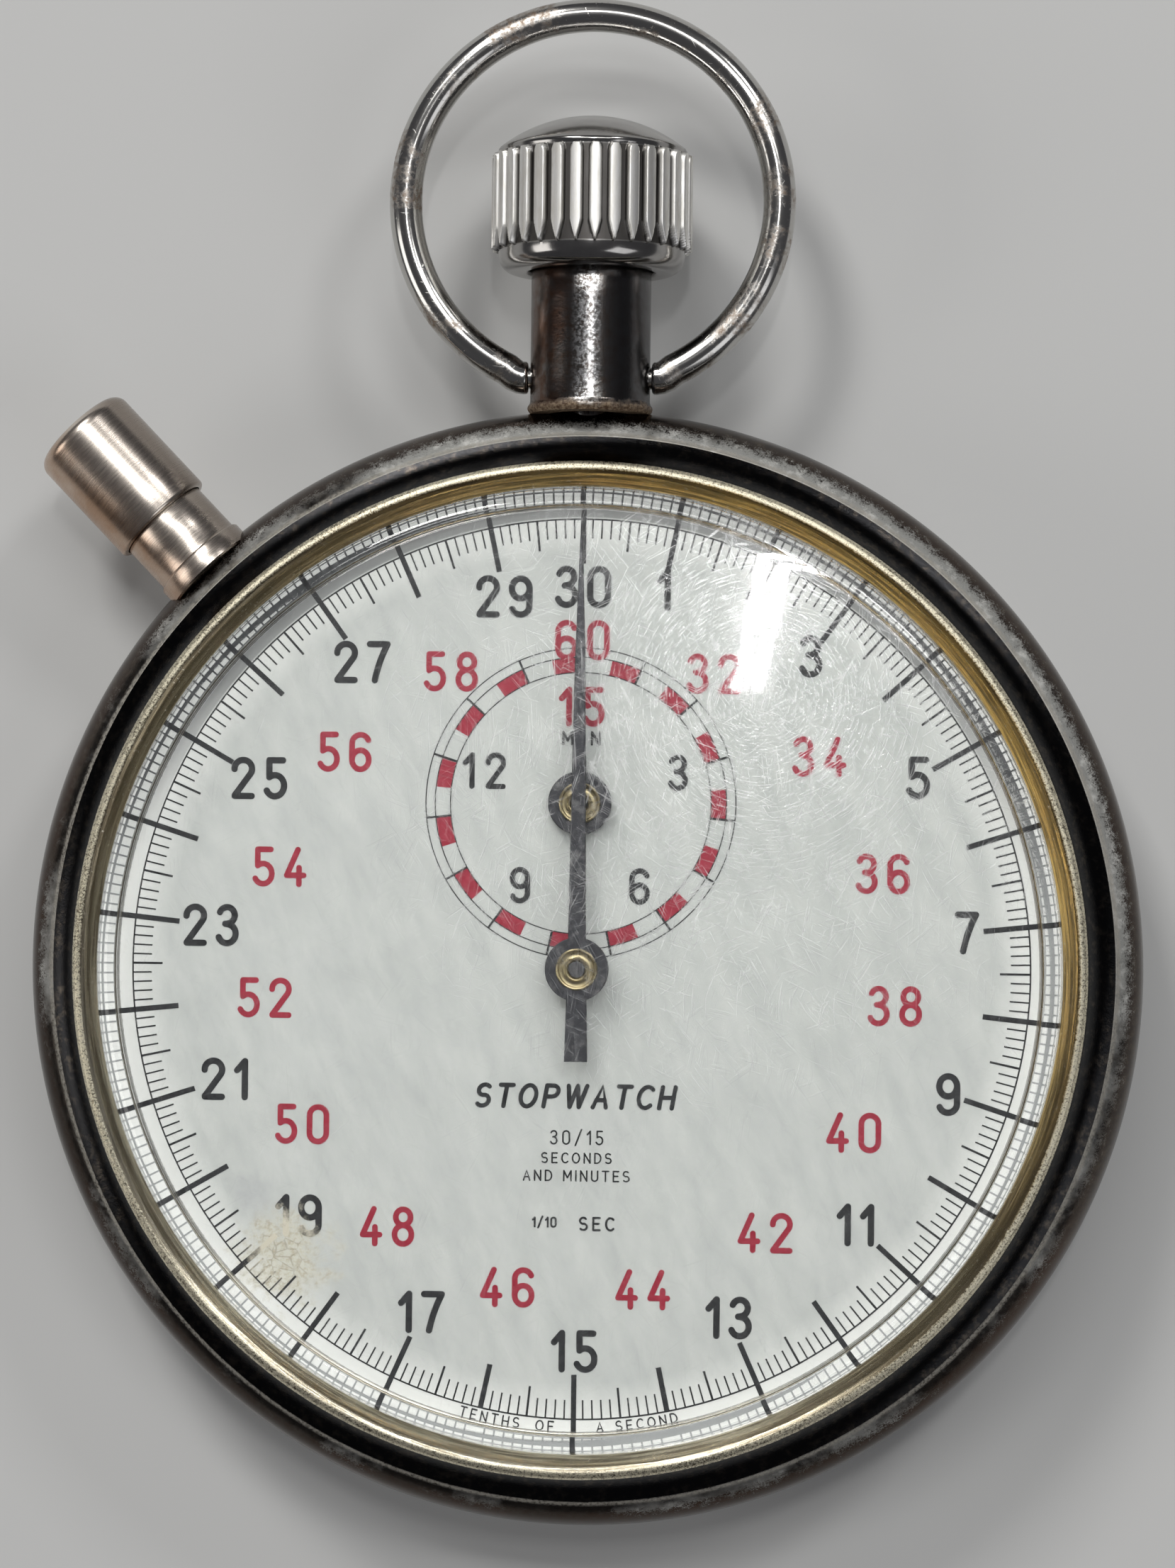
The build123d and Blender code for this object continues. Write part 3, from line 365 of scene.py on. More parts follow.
# ================ shader helpers
def rgba(colour):
    """Four values from a colour or from one grey value."""
    return (colour,) * 3 + (1,) if isinstance(colour, (int, float)) else (*colour, 1)


class Shader:
    """A material with short calls for its nodes. Its coordinates are in millimetres."""

    def __init__(self, name, **values):
        self.material = bpy.data.materials.new(name)
        self.material.use_nodes = True
        self.tree = self.material.node_tree
        self.bsdf = self.tree.nodes["Principled BSDF"]
        self.output = self.tree.nodes["Material Output"]
        self.set(**values)
        coords = self.node("TexCoord").outputs["Object"]
        self.coords = self.node("Mapping", Vector=coords, Scale=(1 / MM,) * 3).outputs["Vector"]

    def link(self, a, b):
        self.tree.links.new(a, b)

    def put(self, socket, value):
        """Links a socket to an output, or sets it to a constant."""
        if isinstance(value, bpy.types.NodeSocket):
            self.link(value, socket)
        else:
            socket.default_value = rgba(value) if socket.type == "RGBA" else value

    def set(self, **values):
        """Sets or links inputs of the surface."""
        for key, value in values.items():
            self.put(self.bsdf.inputs[key.replace("_", " ")], value)

    def node(self, kind, **values):
        """Adds a node. Values are its settings, its inputs by name, or in0, in1 and so on."""
        node = self.tree.nodes.new("ShaderNode" + kind)
        for key, value in values.items():
            if key.startswith("in"):
                self.put(node.inputs[int(key[2:])], value)
            elif hasattr(node, key):
                setattr(node, key, value)
            else:
                self.put(node.inputs[key.replace("_", " ")], value)
        return node

    def stretched(self, x=1.0, y=1.0, z=1.0, turn=0.0, vector=None):
        """The given or the object's coordinates, turned about Z and then scaled."""
        turned = self.node("Mapping", Vector=vector or self.coords, Rotation=(0, 0, math.radians(turn)))
        return self.node("Mapping", Vector=turned.outputs["Vector"], Scale=(x, y, z)).outputs["Vector"]

    def noise(self, scale, detail=4.0, rough=0.55, vector=None, distort=0.0):
        """Soft noise around 0.5. scale is its frequency per millimetre."""
        node = self.node("TexNoise", Vector=vector or self.coords, Scale=scale, Detail=detail,
                         Roughness=rough, Distortion=distort)
        return node.outputs["Fac"]

    def cells(self, scale, feature="F1"):
        """Distances in a pattern of cells."""
        return self.node("TexVoronoi", Vector=self.coords, Scale=scale, feature=feature).outputs["Distance"]

    def ramp(self, value, *stops):
        """Colour or grey ramp: stops are (position, grey or colour)."""
        node = self.node("ValToRGB", Fac=value)
        elements = node.color_ramp.elements
        while len(elements) < len(stops):
            elements.new(0.5)
        for element, (position, colour) in zip(elements, stops):
            element.position = position
            element.color = rgba(colour)
        return node.outputs["Color"]

    def mix(self, factor, a, b):
        node = self.node("Mix", data_type="RGBA")
        for name, value in (("Factor_Float", factor), ("A_Color", a), ("B_Color", b)):
            self.put(next(s for s in node.inputs if s.identifier == name), value)
        return next(s for s in node.outputs if s.identifier == "Result_Color")

    def math(self, operation, a, b=0.0, clamp=False):
        return self.node("Math", operation=operation, use_clamp=clamp, in0=a, in1=b).outputs[0]

    def times(self, *factors):
        product = factors[0]
        for factor in factors[1:]:
            product = self.math("MULTIPLY", product, factor)
        return product

    def plus(self, a, b, clamp=False):
        return self.math("ADD", a, b, clamp)

    def minus(self, a, b):
        return self.math("SUBTRACT", a, b)

    def most(self, a, b):
        return self.math("MAXIMUM", a, b)

    def rise(self, value, low, high):
        """0 up to low, 1 from high."""
        return self.ramp(value, (low, 0.0), (high, 1.0))

    def remap(self, value, low, high, to_low=0.0, to_high=1.0):
        """Goes from to_low at low to to_high at high, and stays there beyond them."""
        return self.node("MapRange", in0=value, in1=low, in2=high, in3=to_low, in4=to_high).outputs[0]

    def distance(self, centre, directions):
        """Distance from a point, counting only some directions, in millimetres."""
        move = self.node("Mapping", Vector=self.coords, Location=tuple(-c for c in centre))
        flat = self.node("VectorMath", operation="MULTIPLY", in0=move.outputs["Vector"], in1=directions)
        return self.node("VectorMath", operation="LENGTH", in0=flat.outputs[0]).outputs["Value"]

    def radius(self, centre=(0, 0)):
        """Distance from an upright axis."""
        return self.distance((*centre, 0), (1, 1, 0))

    def point(self, x, y, z=0.0):
        """A vector made of three values, to give noise coordinates of its own."""
        return self.node("CombineXYZ", X=x, Y=y, Z=z).outputs[0]

    def axis(self, name):
        """X, Y or Z in millimetres."""
        return self.node("SeparateXYZ", Vector=self.coords).outputs[name]

    def toward(self, x, y):
        """How far a point lies in a direction of the XY plane, in millimetres."""
        return self.plus(self.times(self.axis("X"), x), self.times(self.axis("Y"), y))

    def bump(self, height, strength, distance_mm, after=None):
        """Gives the surface a relief, on top of an earlier one if there is one."""
        node = self.node("Bump", Height=height, Strength=strength, Distance=distance_mm * MM)
        if after:
            self.link(after, node.inputs["Normal"])
        self.link(node.outputs["Normal"], self.bsdf.inputs["Normal"])
        return node.outputs["Normal"]


# ================ materials
def scratches(s):
    """Grey mask of three families of thin straight scratches."""
    total = None
    for k in range(3):
        line = s.noise(1.0, 2.0, 0.5, s.stretched(9, 0.35, 9, turn=37 + 58 * k))
        line = s.remap(line, 0.70, 0.74)
        total = line if total is None else s.most(total, line)
    return total


def metal(name, colour, dull, roughness, wear, wear_scale):
    """Plated metal with dull worn patches, dark specks, fine scratches and a faintly uneven surface."""
    s = Shader(name, Metallic=1.0)
    patches = s.noise(wear_scale, 7.0, 0.68, distort=0.4)
    worn = s.rise(patches, 0.56 - 0.12 * wear, 0.68 - 0.12 * wear)
    fine = s.noise(wear_scale * 9, 5.0, 0.7)
    worn = s.times(worn, s.ramp(fine, (0.38, 0.15), (0.62, 1.0)))
    specks = s.ramp(s.cells(wear_scale * 5), (0.0, 1.0), (0.10, 0.0))
    specks = s.times(specks, s.rise(s.noise(wear_scale * 1.7), 0.5, 0.6))
    base = s.mix(worn, colour, dull)
    base = s.mix(specks, base, (0.03, 0.025, 0.02))
    lines = scratches(s)
    rough = s.mix(worn, roughness, 0.52)
    rough = s.plus(rough, s.times(lines, 0.2), clamp=True)
    s.set(Base_Color=base, Roughness=rough)
    waves = s.bump(s.noise(1.1, 2.0), 0.05, 0.05)
    s.bump(s.plus(s.times(fine, worn), s.times(lines, -0.4)), 0.25, 0.02, waves)
    return s.material


def chrome_band():
    """Chrome painted dark as a reflection of dark surroundings, with wear: a rubbed inner edge painted
    lighter as a highlight line, chalky corrosion above and to the right, brown below.
    """
    s = Shader("band_worn", Metallic=1.0)
    r, z = s.radius(), s.axis("Z")
    cloudy, fine, grit = s.noise(0.22, 5.0, 0.62), s.noise(2.6, 6.0, 0.72), s.noise(7.5, 4.0, 0.7)
    above = s.remap(s.toward(0.62, 0.78), -2.0, 24.0)
    below = s.remap(s.toward(-0.45, -0.89), -4.0, 18.0)
    # Painted dark reflection: the chrome's base colour is set nearly black.
    base = s.mix(s.rise(fine, 0.42, 0.66), (0.050, 0.047, 0.044), (0.105, 0.085, 0.066))
    brown = s.mix(s.rise(fine, 0.4, 0.6), (0.105, 0.050, 0.030), (0.060, 0.034, 0.024))
    side = s.times(s.remap(r, 24.45, 24.75), s.ramp(cloudy, (0.30, 0.35), (0.55, 1.0)))
    base = s.mix(s.times(side, s.remap(below, 0.0, 1.0, 0.25, 0.9)), base, brown)
    grain = s.mix(0.5, fine, s.noise(14.0, 3.0, 0.7))
    base = s.mix(s.remap(below, 0.25, 0.75, 0.0, 0.72), base, (0.026, 0.019, 0.014))
    chalk = s.rise(s.plus(grain, s.remap(r, 25.2, 24.35, -0.18, 0.17)), 0.43, 0.57)
    chalk = s.times(chalk, s.ramp(s.plus(cloudy, s.times(above, 0.32)), (0.48, 0.05), (0.70, 1.0)))
    chalk = s.times(chalk, s.remap(z, 6.4, 7.1))
    powder = s.mix(s.rise(s.noise(1.1, 5.0, 0.7), 0.50, 0.66), (0.40, 0.40, 0.38), (0.74, 0.735, 0.70))
    base = s.mix(s.times(chalk, 0.9), base, powder)
    # Rubbed inner edge, painted lighter as a highlight line.
    edge = s.times(s.remap(r, 24.42, 24.3), s.remap(z, 7.5, 7.7))
    edge = s.times(edge, s.ramp(grit, (0.36, 0.15), (0.56, 1.0)))
    s.set(Base_Color=s.mix(s.times(edge, 0.8), base, (0.50, 0.47, 0.41)),
          Metallic=s.remap(s.most(chalk, edge), 0.0, 1.0, 1.0, 0.45))
    rough = s.mix(fine, 0.13, 0.30)
    s.set(Roughness=s.mix(s.most(chalk, edge), rough, 0.55))
    first = s.bump(s.times(grit, s.plus(chalk, 0.15)), 0.5, 0.04)
    s.bump(s.noise(0.9, 2.0), 0.10, 0.08, first)
    return s.material


def chrome_bright():
    """Chrome of the bow, rubbed and a little brown."""
    return metal("bow_chrome", (0.52, 0.51, 0.49), (0.25, 0.19, 0.145), 0.15, wear=0.4, wear_scale=0.5)


def chrome_crown():
    """Bright streaked chrome with the flutes' grooves painted nearly black as shade, and painted darker on
    the dome and below as a dark reflection.
    """
    s = Shader("crown_chrome", Metallic=1.0)
    streak = s.noise(1.0, 4.0, 0.6, s.stretched(5.0, 0.8, 5.0))
    from_middle = s.math("ABSOLUTE", s.minus(s.axis("Y"), (CROWN_LOW + CROWN_HIGH) / 2))
    fluted = s.remap(from_middle, 2.25, 2.15)
    # Painted shade in the grooves between the lands.
    grime = s.times(fluted, s.remap(s.distance((0, 0, MID_Z), (1, 0, 1)), 4.48, 4.33))
    tone = s.mix(s.rise(streak, 0.36, 0.66), (0.97, 0.96, 0.94), (0.80, 0.78, 0.73))
    # Painted dark reflection on the dome and below the flutes.
    tone = s.mix(fluted, s.mix(s.noise(1.2, 5.0, 0.65), (0.26, 0.25, 0.25), (0.46, 0.45, 0.43)), tone)
    s.set(Base_Color=s.mix(s.times(grime, 0.92), tone, (0.035, 0.03, 0.028)),
          Roughness=s.mix(fluted, 0.15, s.mix(streak, 0.34, 0.48)))
    s.bump(streak, 0.05, 0.02)
    return s.material


def chrome_pendant():
    """Chrome painted dark as a reflection and darker down the right side as shade, scuffed bright along the
    top and brown with grime round the foot.
    """
    s = Shader("pendant_chrome", Metallic=1.0)
    x, y = s.axis("X"), s.axis("Y")
    fine, grit = s.noise(2.0, 6.0, 0.72), s.noise(6.0, 4.0, 0.7)
    # Painted dark reflection: the chrome's base colour is set dark.
    base = s.mix(s.rise(fine, 0.42, 0.64), (0.17, 0.165, 0.16), (0.10, 0.075, 0.06))
    left = s.times(s.remap(x, -0.6, -1.3), s.ramp(s.noise(0.5), (0.35, 0.3), (0.6, 1.0)))
    base = s.mix(s.times(left, 0.7), base, (0.10, 0.045, 0.025))
    # Painted shade down the right side.
    base = s.mix(s.remap(x, 0.7, 1.5, 0.0, 0.7), base, (0.065, 0.065, 0.07))
    scuff = s.times(s.remap(s.math("ABSOLUTE", x), 0.75, 0.3), s.rise(grit, 0.44, 0.56))
    base = s.mix(s.times(scuff, 0.9), base, (0.72, 0.72, 0.72))
    foot = s.remap(s.plus(y, s.times(fine, 1.0)), 26.35, 25.95)
    rust = s.mix(s.rise(grit, 0.4, 0.6), (0.10, 0.055, 0.03), (0.36, 0.27, 0.18))
    s.set(Base_Color=s.mix(foot, base, rust), Metallic=s.remap(foot, 0, 1, 1.0, 0.35))
    s.set(Roughness=s.mix(foot, s.mix(fine, 0.12, 0.30), 0.7))
    s.bump(s.plus(grit, s.times(foot, fine)), 0.25, 0.03)
    return s.material


def pusher_metal():
    """Satin nickel turned round its axis, brown along one side and painted dark along the other as shade."""
    s = Shader("pusher_satin", Metallic=1.0)
    along = s.toward(-math.sin(PUSHER_ANGLE), math.cos(PUSHER_ANGLE))
    across = s.toward(math.cos(PUSHER_ANGLE), math.sin(PUSHER_ANGLE))
    rings = s.noise(1.0, 4.0, 0.6, s.point(s.times(along, 14.0), across))
    brown = s.times(s.remap(across, 0.1, -1.4), s.ramp(s.noise(0.5, 4.0, 0.6), (0.3, 0.55), (0.6, 1.0)))
    # Painted shade: the tone darkens along one side of the cylinder.
    tone = s.mix(s.remap(across, 0.5, 2.0, 0.0, 0.75), (0.76, 0.68, 0.60), (0.22, 0.18, 0.155))
    tone = s.mix(s.times(brown, 0.85), tone, (0.40, 0.235, 0.14))
    marks = s.ramp(s.noise(2.6, 5.0, 0.75), (0.66, 0.0), (0.72, 0.7))
    s.set(Base_Color=s.mix(marks, tone, (0.16, 0.11, 0.08)), Roughness=s.remap(rings, 0.3, 0.7, 0.21, 0.31))
    s.bump(rings, 0.12, 0.02)
    return s.material


def bezel_metal():
    """Chrome worn to brass inside the sight edge, painted brighter towards the upper right as a highlight and
    cream towards the lower left as a reflection, speckled on the rim, and painted black down the flank as a
    dark reflection.
    """
    s = Shader("bezel_worn", Metallic=1.0)
    r, z = s.radius(), s.axis("Z")
    grit, cloudy = s.noise(6.5, 5.0, 0.75), s.noise(0.16, 4.0, 0.6)
    turned = s.point(s.times(r, 9.0), s.times(s.axis("X"), 0.22), s.times(s.axis("Y"), 0.22))
    rings = s.noise(1.0, 4.0, 0.65, turned)
    # Brass showing through wear, painted brighter gold towards the upper right as a highlight.
    brass_wear_and_painted_highlight = s.remap(s.toward(0.68, 0.73), 2.0, 20.0)
    # Painted reflection: cream towards the lower left of the sight edge.
    bright = s.remap(s.toward(-0.55, -0.84), 6.0, 18.0)
    inside = s.mix(brass_wear_and_painted_highlight, (0.33, 0.28, 0.185), (0.90, 0.60, 0.20))
    inside = s.mix(s.times(bright, 0.9), inside, (0.76, 0.71, 0.56))
    inside = s.mix(s.ramp(rings, (0.42, 0.75), (0.60, 0.0)), inside, (0.12, 0.095, 0.06))
    inside = s.mix(s.ramp(grit, (0.60, 0.0), (0.68, 0.7)), inside, (0.80, 0.76, 0.66))
    sand = s.noise(13.0, 4.0, 0.7)
    speckle = s.rise(s.plus(s.mix(0.5, grit, sand), s.times(cloudy, 0.25)), 0.52, 0.64)
    rim = s.mix(speckle, (0.20, 0.17, 0.12), (0.86, 0.80, 0.62))
    # Painted dark reflection: the flank's metal colour is set nearly black.
    flank = s.mix(s.rise(s.noise(2.2, 5.0, 0.7), 0.5, 0.72), (0.020, 0.020, 0.021), (0.07, 0.06, 0.05))
    to_rim = s.remap(s.plus(r, s.times(grit, 0.16)), 22.46, 22.58)
    down = s.remap(s.plus(z, s.times(grit, 0.25)), 10.88, 10.72)
    outside = s.times(down, s.remap(r, 22.5, 22.6))
    wall = s.times(s.remap(z, 10.26, 10.16), s.remap(r, 21.8, 21.76))
    inside = s.mix(wall, inside, (0.62, 0.62, 0.60))
    s.set(Base_Color=s.mix(outside, s.mix(to_rim, inside, rim), flank))
    rough = s.mix(to_rim, s.mix(rings, 0.30, 0.16), s.mix(speckle, 0.28, 0.48))
    s.set(Roughness=s.mix(outside, rough, 0.11))
    first = s.bump(s.times(rings, s.minus(1.0, outside)), 0.35, 0.05)
    s.bump(s.times(grit, to_rim), 0.35, 0.03, first)
    return s.material


def back_metal():
    """Plating of the back, duller in large patches."""
    return metal("back_plated", (0.60, 0.60, 0.59), (0.36, 0.34, 0.31), 0.2, wear=0.4, wear_scale=0.2)


def dial_enamel():
    """Matte light grey paint, faintly mottled, painted paler towards the edge as light and with a painted
    shadow of the bezel in a band across the top, with an old damp stain beside the lower left numerals.
    """
    s = Shader("dial_paint", IOR=1.45)
    streak = s.noise(1.0, 4.0, 0.55, s.stretched(0.95, 0.30, 1.0, turn=-24))
    fine = s.noise(1.0, 4.0, 0.6, s.stretched(2.6, 0.9, 1.0, turn=-24))
    tone = s.plus(s.times(streak, 0.7), s.times(fine, 0.3))
    paint = s.mix(s.rise(tone, 0.34, 0.66), (0.355, 0.372, 0.358), (0.430, 0.444, 0.427))
    r, y = s.radius(), s.axis("Y")
    # Painted light: the paint grows paler towards the edge.
    paint = s.mix(s.remap(r, 18.6, 20.8), paint, (0.62, 0.63, 0.61))
    # Painted shadow of the bezel: a grey band just outside the scale, across the top.
    shaded = s.times(s.remap(r, 20.27, 20.36), s.remap(r, 20.88, 20.80))
    shaded = s.times(shaded, s.remap(y, 5.0, 13.0))
    paint = s.mix(s.times(shaded, 0.85), paint, (0.15, 0.155, 0.155))
    blot, crumb = s.noise(0.8, 6.0, 0.72), s.noise(4.5, 5.0, 0.75)
    stain_at, smudge_at = (-13.2, -13.2), (-14.7, -10.4)
    stain = s.plus(s.radius(stain_at), s.times(blot, 6.5))
    tan = s.mix(s.rise(crumb, 0.40, 0.56), (0.35, 0.32, 0.235), (0.49, 0.47, 0.375))
    patchy = s.times(s.remap(stain, 4.3, 5.6, 1.0, 0.0), s.ramp(crumb, (0.30, 1.0), (0.62, 0.45)))
    paint = s.mix(patchy, paint, tan)
    cracks = s.ramp(s.cells(1.6, feature="DISTANCE_TO_EDGE"), (0.0, 1.0), (0.06, 0.0))
    cracks = s.times(cracks, s.times(s.remap(stain, 4.0, 4.6, 1.0, 0.0), blot))
    paint = s.mix(cracks, paint, (0.16, 0.14, 0.10))
    smudge = s.plus(s.radius(smudge_at), s.times(blot, 3.4))
    paint = s.mix(s.remap(smudge, 1.7, 3.0, 0.42, 0.0), paint, (0.24, 0.25, 0.26))
    dust = s.ramp(s.cells(0.85), (0.0, 1.0), (0.035, 0.0))
    dust = s.times(dust, s.ramp(s.noise(0.3), (0.52, 0.0), (0.6, 0.6)))
    s.set(Base_Color=s.mix(dust, paint, (0.25, 0.21, 0.16)), Roughness=s.remap(fine, 0.3, 0.7, 0.42, 0.6))
    s.bump(s.noise(7.0, 4.0), 0.08, 0.02)
    return s.material


def ink(name, colour, thin, pale=None):
    """Printed ink, uneven, and lost where the stain has eaten it. pale is its tone below the middle."""
    s = Shader(name, IOR=1.45)
    uneven = s.ramp(s.noise(3.5, 5.0, 0.65), (0.42, 0.0), (0.68, 0.55))
    base = s.mix(uneven, colour, thin)
    if pale:
        base = s.mix(s.remap(s.axis("Y"), 2.0, 9.0), pale, base)
    blot = s.noise(1.4, 5.0, 0.7)
    stain_at = (-13.4, -12.6)
    eaten = s.plus(s.radius(stain_at), s.times(blot, 4.2))
    lost = s.ramp(s.remap(eaten, 2.9, 4.0, 1.0, 0.0), (0.0, 0.0), (1.0, 0.9))
    s.set(Base_Color=s.mix(lost, base, (0.50, 0.47, 0.38)), Roughness=s.remap(uneven, 0.0, 0.5, 0.35, 0.55))
    s.bump(s.noise(9.0, 3.0), 0.1, 0.01)
    return s.material


def hand_paint():
    """Dark blued and lacquered steel, rubbed bright in places."""
    s = Shader("hand_dark", Metallic=0.75)
    rubbed = s.rise(s.noise(1.6, 6.0, 0.7), 0.52, 0.72)
    s.set(Base_Color=s.mix(rubbed, (0.055, 0.056, 0.062), (0.17, 0.17, 0.17)),
          Roughness=s.remap(s.noise(4.0), 0.3, 0.7, 0.26, 0.44))
    s.bump(s.noise(6.0, 4.0), 0.12, 0.01)
    return s.material


def brass(name, colour):
    """Lightly tarnished brass."""
    s = Shader(name, Metallic=1.0)
    dull = s.rise(s.noise(1.6, 3.0, 0.5), 0.40, 0.75)
    s.set(Base_Color=s.mix(dull, colour, tuple(c * 0.72 for c in colour)),
          Roughness=s.remap(s.noise(5.0), 0.3, 0.7, 0.24, 0.38))
    s.bump(s.noise(5.0, 2.0), 0.03, 0.01)
    return s.material


def inner_metal(name, colour, roughness, grain, turn=0.0):
    """Straight-grained finish for the movement's plates and wheels."""
    s = Shader(name, Metallic=1.0)
    line = s.noise(1.0, 4.0, 0.6, s.stretched(0.5, grain, grain, turn))
    tone = s.rise(line, 0.3, 0.7)
    s.set(Base_Color=s.mix(tone, tuple(c * 0.82 for c in colour), colour),
          Roughness=s.remap(line, 0.3, 0.7, roughness * 0.8, roughness * 1.3))
    s.bump(line, 0.08, 0.01)
    return s.material


def ruby():
    """Clear red stone."""
    s = Shader("jewel_ruby", Transmission_Weight=0.6, IOR=1.76, Roughness=0.05)
    s.set(Base_Color=s.mix(s.noise(2.0), (0.50, 0.01, 0.05), (0.75, 0.03, 0.10)))
    s.bump(s.noise(5.0), 0.03, 0.01)
    return s.material


def crystal_acrylic():
    """Clear acrylic with fine scratches, mostly across the upper right and the middle."""
    s = Shader("crystal_clear", Transmission_Weight=1.0, IOR=1.49, Base_Color=(0.985, 0.99, 0.985),
               Coat_Weight=0.02, Coat_Roughness=0.14)
    warp = s.node("TexNoise", Vector=s.coords, Scale=0.10, Detail=1.0).outputs["Color"]
    bent = s.node("VectorMath", operation="MULTIPLY_ADD", in0=warp, in1=(3, 3, 0), in2=s.coords)
    families = ((20, 0.34, 19.0), (62, 0.40, 22.0), (-34, 0.36, 20.0), (-70, 0.45, 23.0), (4, 0.3, 20.0))
    lines = None
    for turn, along, across in families:
        streak = s.noise(1.0, 3.0, 0.55, s.stretched(across, along, 0, turn, bent.outputs[0]))
        streak = s.rise(streak, 0.635, 0.68)
        lines = streak if lines is None else s.most(lines, streak)
    worst_at = (6.5, 9.5)
    where = s.remap(s.radius(worst_at), 3.0, 17.0, 1.0, 0.12)
    lines = s.times(lines, where)
    rubbed = (8.2, 12.2)  # centre of the circular marks that wiping has left
    ring, dx = s.radius(rubbed), s.minus(s.axis("X"), rubbed[0])
    around = s.math("ARCTAN2", s.minus(s.axis("Y"), rubbed[1]), dx)
    swirl = s.noise(1.0, 3.0, 0.55, s.point(s.times(ring, 15.0), s.times(around, 5.0)))
    swirl = s.times(s.rise(swirl, 0.58, 0.66), s.remap(ring, 3.5, 10.0, 0.9, 0.0))
    lines = s.most(lines, swirl)
    hazy = s.times(s.rise(s.noise(0.5, 5.0, 0.7), 0.45, 0.7), where)
    dull = s.plus(s.times(lines, 0.25), s.times(hazy, 0.03))
    s.set(Roughness=s.plus(dull, 0.02), Transmission_Weight=s.remap(lines, 0.0, 1.0, 1.0, 0.60))
    s.bump(lines, 0.08, 0.01)
    shadow = s.node("LightPath").outputs["Is Shadow Ray"]
    clear = s.node("BsdfTransparent").outputs["BSDF"]
    blend = s.node("MixShader", in0=shadow, in1=s.bsdf.outputs["BSDF"], in2=clear)
    s.link(blend.outputs[0], s.output.inputs["Surface"])
    return s.material


BAND, BRIGHT, CROWN_METAL, PENDANT = chrome_band(), chrome_bright(), chrome_crown(), chrome_pendant()
PUSHER, BEZEL, BACK, DIAL = pusher_metal(), bezel_metal(), back_metal(), dial_enamel()
BLACK_INK = ink("ink_black", (0.006, 0.007, 0.008), (0.028, 0.029, 0.032))
RED_INK = ink("ink_red", (0.22, 0.005, 0.020), (0.30, 0.022, 0.045))
# Painted refraction of the scale in the crystal's shoulder, paler below the middle.
REFRACTION_PAINTED_INK = ink("ink_grey", (0.035, 0.037, 0.040), (0.10, 0.105, 0.105), pale=(0.24, 0.25, 0.25))
HAND, CRYSTAL = hand_paint(), crystal_acrylic()
BOSS = brass("boss_brass", (0.38, 0.32, 0.19))

INNER = {  # material of each of the model's colour slots
    "case_chrome": BAND,
    "back_chrome": BACK,
    "bezel_brass": BEZEL,
    "pusher_nickel": PUSHER,
    "crystal_acrylic": CRYSTAL,
    "dial_enamel": DIAL,
    "hand_black": HAND,
    "gilt_brass": brass("gilt", (0.78, 0.57, 0.25)),
    "nickel_plate": inner_metal("nickel_grained", (0.62, 0.60, 0.55), 0.28, 6.0, 30),
    "polished_steel": inner_metal("steel_polished", (0.55, 0.55, 0.56), 0.16, 8.0, 75),
    "blued_steel": inner_metal("steel_blued", (0.03, 0.06, 0.24), 0.2, 8.0, 10),
    "ruby": ruby(),
}


# ================ case
def case_band():
    """Ring with a rounded outside, a ledge for the dial and a seat for the bezel and the back."""
    outer = [(24.02, 8.0), (24.2, 7.97), (24.3, 7.85)]
    outer += through(outer[-1], (25.17, 7.0), (25.5, 6.0), 20)
    outer += through(outer[-1], (25.17, 4.98), (24.3, 4.05), 20)
    outer += [(24.2, 3.93), (24.02, 3.9)]
    inner = [(22.9, 3.9), (22.9, 3.05), (22.2, 3.05), (22.2, 7.0), (22.0, 7.6), (22.0, DIAL_TOP)]
    inner += [(22.9, DIAL_TOP), (22.9, 8.0)]
    ring = lathe("band", outer + inner, BAND, "case", "case_band", segments=384)
    inside, outside = 21.0, 26.5
    for axis, radius in zip((TO_CROWN, TO_PUSHER), STEM_BORES):
        bore(ring, axis, radius, inside, outside)


def back_cover():
    """Domed sheet with a rolled rim."""
    outer = [(0, 0), (14.6, 0)] + through((14.6, 0), (19.6, 0.85), (23.75, 2.6), 22)
    outer += [(24.06, 2.86), (24.15, 3.05), (24.15, 3.80), (24.08, 3.88), (23.0, 3.9)]
    inner = [(22.96, 2.82)] + through((22.9, 2.8), (19.2, 1.42), (15.0, 0.62), 12) + [(0, 0.6)]
    lathe("back", outer + inner, BACK, "case", "back_cover", segments=384, closed=False)


def bezel():
    """Sight edge sloping down to the crystal, narrow rim and hollow flank."""
    rim = soften([(21.7, 9.86), (21.7, 10.3), (22.2, 10.85), (22.45, 10.95), (22.68, 10.88), (22.8, 10.7)],
                 [0.10, 0.10, 0.12, 0.12])
    flank = through((22.8, 10.7), (22.98, 9.1), (24.13, 8.2), 24)
    under = [(24.15, 8.1), (24.12, 8.02), (22.95, 8.01), (22.95, 8.88), (22.0, 8.9), (22.0, 9.86)]
    lathe("bezel_ring", rim + flank + under, BEZEL, "case", "bezel", segments=512, sharp=32)


def crystal():
    """Dome with a rounded shoulder. Its flange is a hair above the dial, so that no faces coincide."""
    outer = [(20.86, 8.88), (21.95, 8.88), (21.95, 9.83), (21.66, 9.84), (21.65, 10.78)]
    outer += through(outer[-1], (21.39, 11.42), (20.75, 11.68), 16) + dome(20.75, 11.68, 12.9, 40)
    inner = dome(20.5, 10.8, 12.0, 40)[::-1] + [(20.5, 10.8)]
    inner += through(inner[-1], (20.75, 10.7), (20.85, 10.45), 12) + [(20.86, 9.6)]
    lathe("crystal_dome", outer + inner, CRYSTAL, "case", "crystal", sharp=40)


